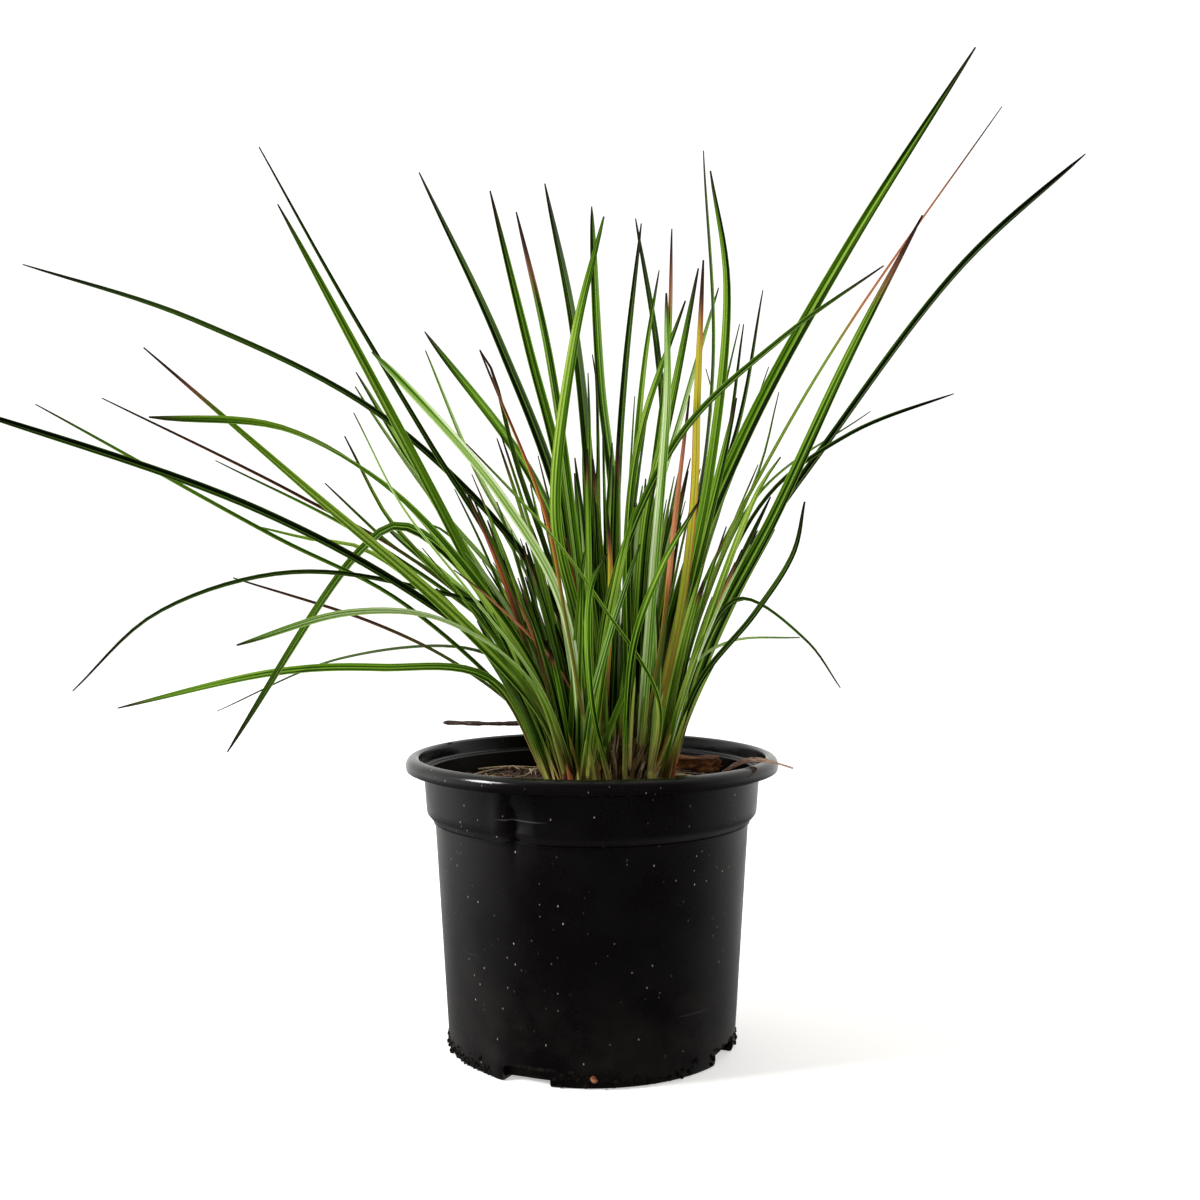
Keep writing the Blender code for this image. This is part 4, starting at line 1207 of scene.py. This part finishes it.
def makeFringe(material):
    # mix and root ends that cling to the foot of the pot, thick in places and bare in others, nearly black
    # this low down
    template = modelCrumb()
    dice = random.Random(soil["seed"] + 2)
    spacing = 360 / pot["notches"]
    pieces = []
    while len(pieces) < fringe["count"]:
        around = dice.uniform(0, math.tau)
        height = dice.random()**1.7
        clump = noise.noise(Vector((math.cos(around) * 5, math.sin(around) * 5, height * 3)))
        if clump + fringe["cover"] < dice.random() * 0.7:
            continue
        size = dice.uniform(*fringe["sizes"]) * mm
        fromNotch = (math.degrees(around) + 90 - pot["notchTurn"] + spacing / 2) % spacing - spacing / 2
        if abs(fromNotch) < fringe["notchReach"]:
            height = 1.0
        radius = pot["baseRadius"] + fringe["reach"] * mm * (dice.random() - 0.65) * (1.0 - 0.7 * height)
        lift = 0.75 * size * (1.0 - height) + height * fringe["height"] * mm
        place = (radius * math.cos(around), radius * math.sin(around), lift)
        pieces.append(layCrumb(template, dice, size, around, place,
                               ((0.4, 0.8), (0.6, 1.6), (0.5, 1.2)), (0.7, 1.25)))
    gather(pieces, "footCrumbs", 30, material, "potting_mix")
    bpy.data.objects.remove(template)


def fibreMaterial():
    # coir and fine dead roots: dry, pale, slightly shiny threads
    material, tree = newMaterial("dryRootFibre")
    bands = addNode(tree, "TexNoise", {"noise_dimensions": "1D"}, {
        "W": readStored(tree, "place")[1], "Scale": 14.0, "Detail": 2.0})
    mixed = addNode(tree, "Math", timesPlus, (bands, 0.5, -0.25))
    tone = addNode(tree, "Math", None, (mixed, readStored(tree, "look")[0]))
    colour = addNode(tree, "ValToRGB", None, (tone,), [
        (0.0, "#24160d"), (0.4, "#5a3d26"), (0.75, "#9a7b58"), (1.0, "#cdbb9c")])
    surface(tree, colour, 0.6, 0.3)
    return material


def makeFibres():
    rows = fibres["rows"]
    tube = modelTube(fibres["sides"], rows - 1)
    dice = random.Random(soil["seed"] + 1)
    edge = pot["collarLow"] - pot["wall"] - 0.010
    pieces = []
    for number in range(fibres["count"]):
        around = dice.uniform(0, math.tau)
        radius = edge * math.sqrt(dice.uniform(0.2, 1.0))
        x, y = radius * math.cos(around), radius * math.sin(around)
        heading = dice.uniform(0, math.tau)
        length = dice.uniform(*fibres["lengths"]) * mm
        curl = dice.uniform(-fibres["curl"], fibres["curl"])
        route = []
        for step in range(5):
            lift = (0.6 + 2.2 * dice.random() * math.sin(math.pi * step / 4)) * mm
            route.append((x, y, soilHeight(x, y) + lift))
            x += length / 4 * math.cos(heading)
            y += length / 4 * math.sin(heading)
            heading += curl / 4
            if math.hypot(x, y) > edge + 0.006:
                heading += math.pi * 0.6
        line = smoothLine(route, rows)
        widths = np.full(rows, dice.uniform(*fibres["widths"]) * mm)
        widths[-1] = widths[0] = 0.12 * mm
        look = (dice.uniform(*fibres["tones"]), 0.0, dice.random(), 1.0)
        pieces.append(layAlong(tube, "fibre", line, widths, np.zeros(rows), look))
    for start, end in fibres["straws"]:
        route = []
        for share in (0.0, 0.35, 0.7, 1.0):
            x, y = ((a + (b - a) * share) * mm for a, b in zip(start, end))
            route.append((x, y, soilHeight(x, y) + 1.6 * mm))
        pieces.append(layAlong(tube, "fibre", smoothLine(route, rows), np.linspace(0.9, 0.5, rows) * mm,
                               np.zeros(rows), (fibres["strawTone"], 0.0, 0.5, 1.0)))
    gather(pieces, "rootFibres", 60, fibreMaterial(), "potting_mix")
    bpy.data.objects.remove(tube)


# Litter

litter = {
    "twig": [(-22, 24, 144), (-45, 36, 142), (-74, 58, 140)],
    "twigWidth": 2.1,           # millimetres
    "straw": [(56, -30, 127), (66, -36, 133), (73, -41, 134.6), (80, -45, 134), (86, -48, 132.5)],
    "strawWidth": 3.4,
    "chipSize": (0.0190, 0.0115, 0.0060),
    "chipTurn": -20.0,          # degrees
    "chipRidge": 0.22,          # how uneven its surface is along the grain, as a share of its size
    "chipLump": 0.36,           # and in larger lumps
    "gritPlace": (0.0011, -0.0662, 0.0047),
    "gritSize": 0.0032,
}


def deadStemMaterial(name, stops):
    # dead stem: weathered bark or dry leaf, ridged along its length, matt
    material, tree = newMaterial(name)
    place = addNode(tree, "Attribute", {"attribute_name": "place"})
    stretched = addNode(tree, "VectorMath", times, (place.outputs["Vector"], (7.0, 11.0, 1.0)))
    ridges = addNode(tree, "TexNoise", None, (stretched, 1.0, 5.0, 0.7))
    colour = addNode(tree, "ValToRGB", None, (ridges,), stops)
    surface(tree, colour, 0.75, 0.25, ridges, 0.7, 0.0003)
    return material


def barkMaterial():
    # composted pine bark: red-brown, split along its grain, dusty in the cracks
    material, tree = newMaterial("compostedPineBark")
    coords = addNode(tree, "TexCoord").outputs["Object"]
    stretched = addNode(tree, "Mapping", None, {
        "Vector": coords, "Rotation": (0.0, 0.0, 0.5), "Scale": (120.0, 420.0, 420.0)})
    grain = addNode(tree, "TexNoise", None, (stretched, 1.0, 5.0, 0.7))
    colour = addNode(tree, "ValToRGB", None, (grain,), [
        (0.30, "#1c110a"), (0.46, "#57341d"), (0.60, "#8a5834"), (0.80, "#b0845c")])
    surface(tree, colour, 0.85, 0.2, grain, 0.8, 0.0006)
    return material


def makeLitter():
    rows = 25
    dice = random.Random(4)
    tube = modelTube(8, rows - 1)
    line = smoothLine(litter["twig"], rows) * mm
    widths = np.array([litter["twigWidth"] * mm * dice.uniform(0.8, 1.2) for row in range(rows)])
    widths[0] *= 0.6
    widths[-1] *= 0.6
    twig = layAlong(tube, "deadTwig", line, widths, np.zeros(rows), (0.5, 0.0, 0.5, 1.0))
    smoothPiece(twig, 60)
    stops = [(0.36, "#060403"), (0.53, "#2a1a11"), (0.63, "#6a4d3a"), (0.80, "#a08a72")]
    finishPiece(twig, deadStemMaterial("weatheredTwig", stops), "dead_stem", "dead_twig")
    bpy.data.objects.remove(tube)

    strip = modelStrip(6, rows - 1)
    line = smoothLine(litter["straw"], rows) * mm
    share = np.linspace(0.0, 1.0, rows)
    widths = litter["strawWidth"] * mm * (0.25 + 0.75 * np.sin(math.pi * np.minimum(1.0, share * 1.25)))
    widths = np.maximum(widths, 0.6 * mm)
    straw = layAlong(strip, "deadStraw", line, widths, np.radians(20 + 50 * share), (0.5, 0.0, 0.5, 1.0))
    thicken(straw, 0.35, 50)
    stops = [(0.28, "#3a2a20"), (0.46, "#8a6a58"), (0.62, "#bda08e"), (0.80, "#d6c6b6")]
    finishPiece(straw, deadStemMaterial("curledDryLeaf", stops), "dead_stem", "dead_straw")
    bpy.data.objects.remove(strip)

    middle = np.mean(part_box("bark_chip"), axis=0)
    deselectAll()
    bpy.ops.mesh.primitive_cube_add(size=1)
    chip = bpy.context.object
    rename(chip, "barkChip")
    editAll()
    bpy.ops.mesh.subdivide(number_cuts=9)
    bpy.ops.object.mode_set(mode="OBJECT")
    points = getPoints(chip)
    for index, co in enumerate(points):
        spot = Vector(co)
        ridged = litter["chipRidge"] * noise.noise(Vector((spot.x * 2, spot.y * 7, spot.z * 5)))
        lump = litter["chipLump"] * noise.noise(spot * 2.1 + Vector((4.0, 1.0, 7.0)))
        points[index] = co * (1.0 + ridged + lump) * (1.0 - 0.12 * np.dot(co, co))
    setPoints(chip, (points * litter["chipSize"]) @ turnedBy(math.radians(litter["chipTurn"])) + middle)
    smoothPiece(chip, 40)
    bark = barkMaterial()
    finishPiece(chip, bark, "bark", "bark_chip")

    deselectAll()
    bpy.ops.mesh.primitive_ico_sphere_add(subdivisions=3, radius=litter["gritSize"] / 2)
    grit = bpy.context.object          # a crumb of bark that sticks to the foot of the pot
    rename(grit, "footGrit")
    points = getPoints(grit)
    lumps = np.array([[1.0 + 0.45 * noise.noise(Vector(co) * 700)] for co in points])
    setPoints(grit, points * lumps * (1.0, 0.7, 0.9) + litter["gritPlace"])
    smoothPiece(grit, 40)
    finishPiece(grit, bark, "bark")
    print("litter placed")


print("studio and camera")
setCamera()
makeFloor()
lightStudio()
for kind, colours in leafColours.items():
    leafMaterials[kind] = leafMaterial("sedge" + kind.capitalize() + "Blade", colours)
makePot()
mixMaterial = soilMaterial()
makeSoil(mixMaterial)
makeCrumbs(mixMaterial)
makeFringe(mixMaterial)
makeFibres()
makeThatch()
makeSheaths()
makeLeaves()
makeShortBlades()
makeLitter()
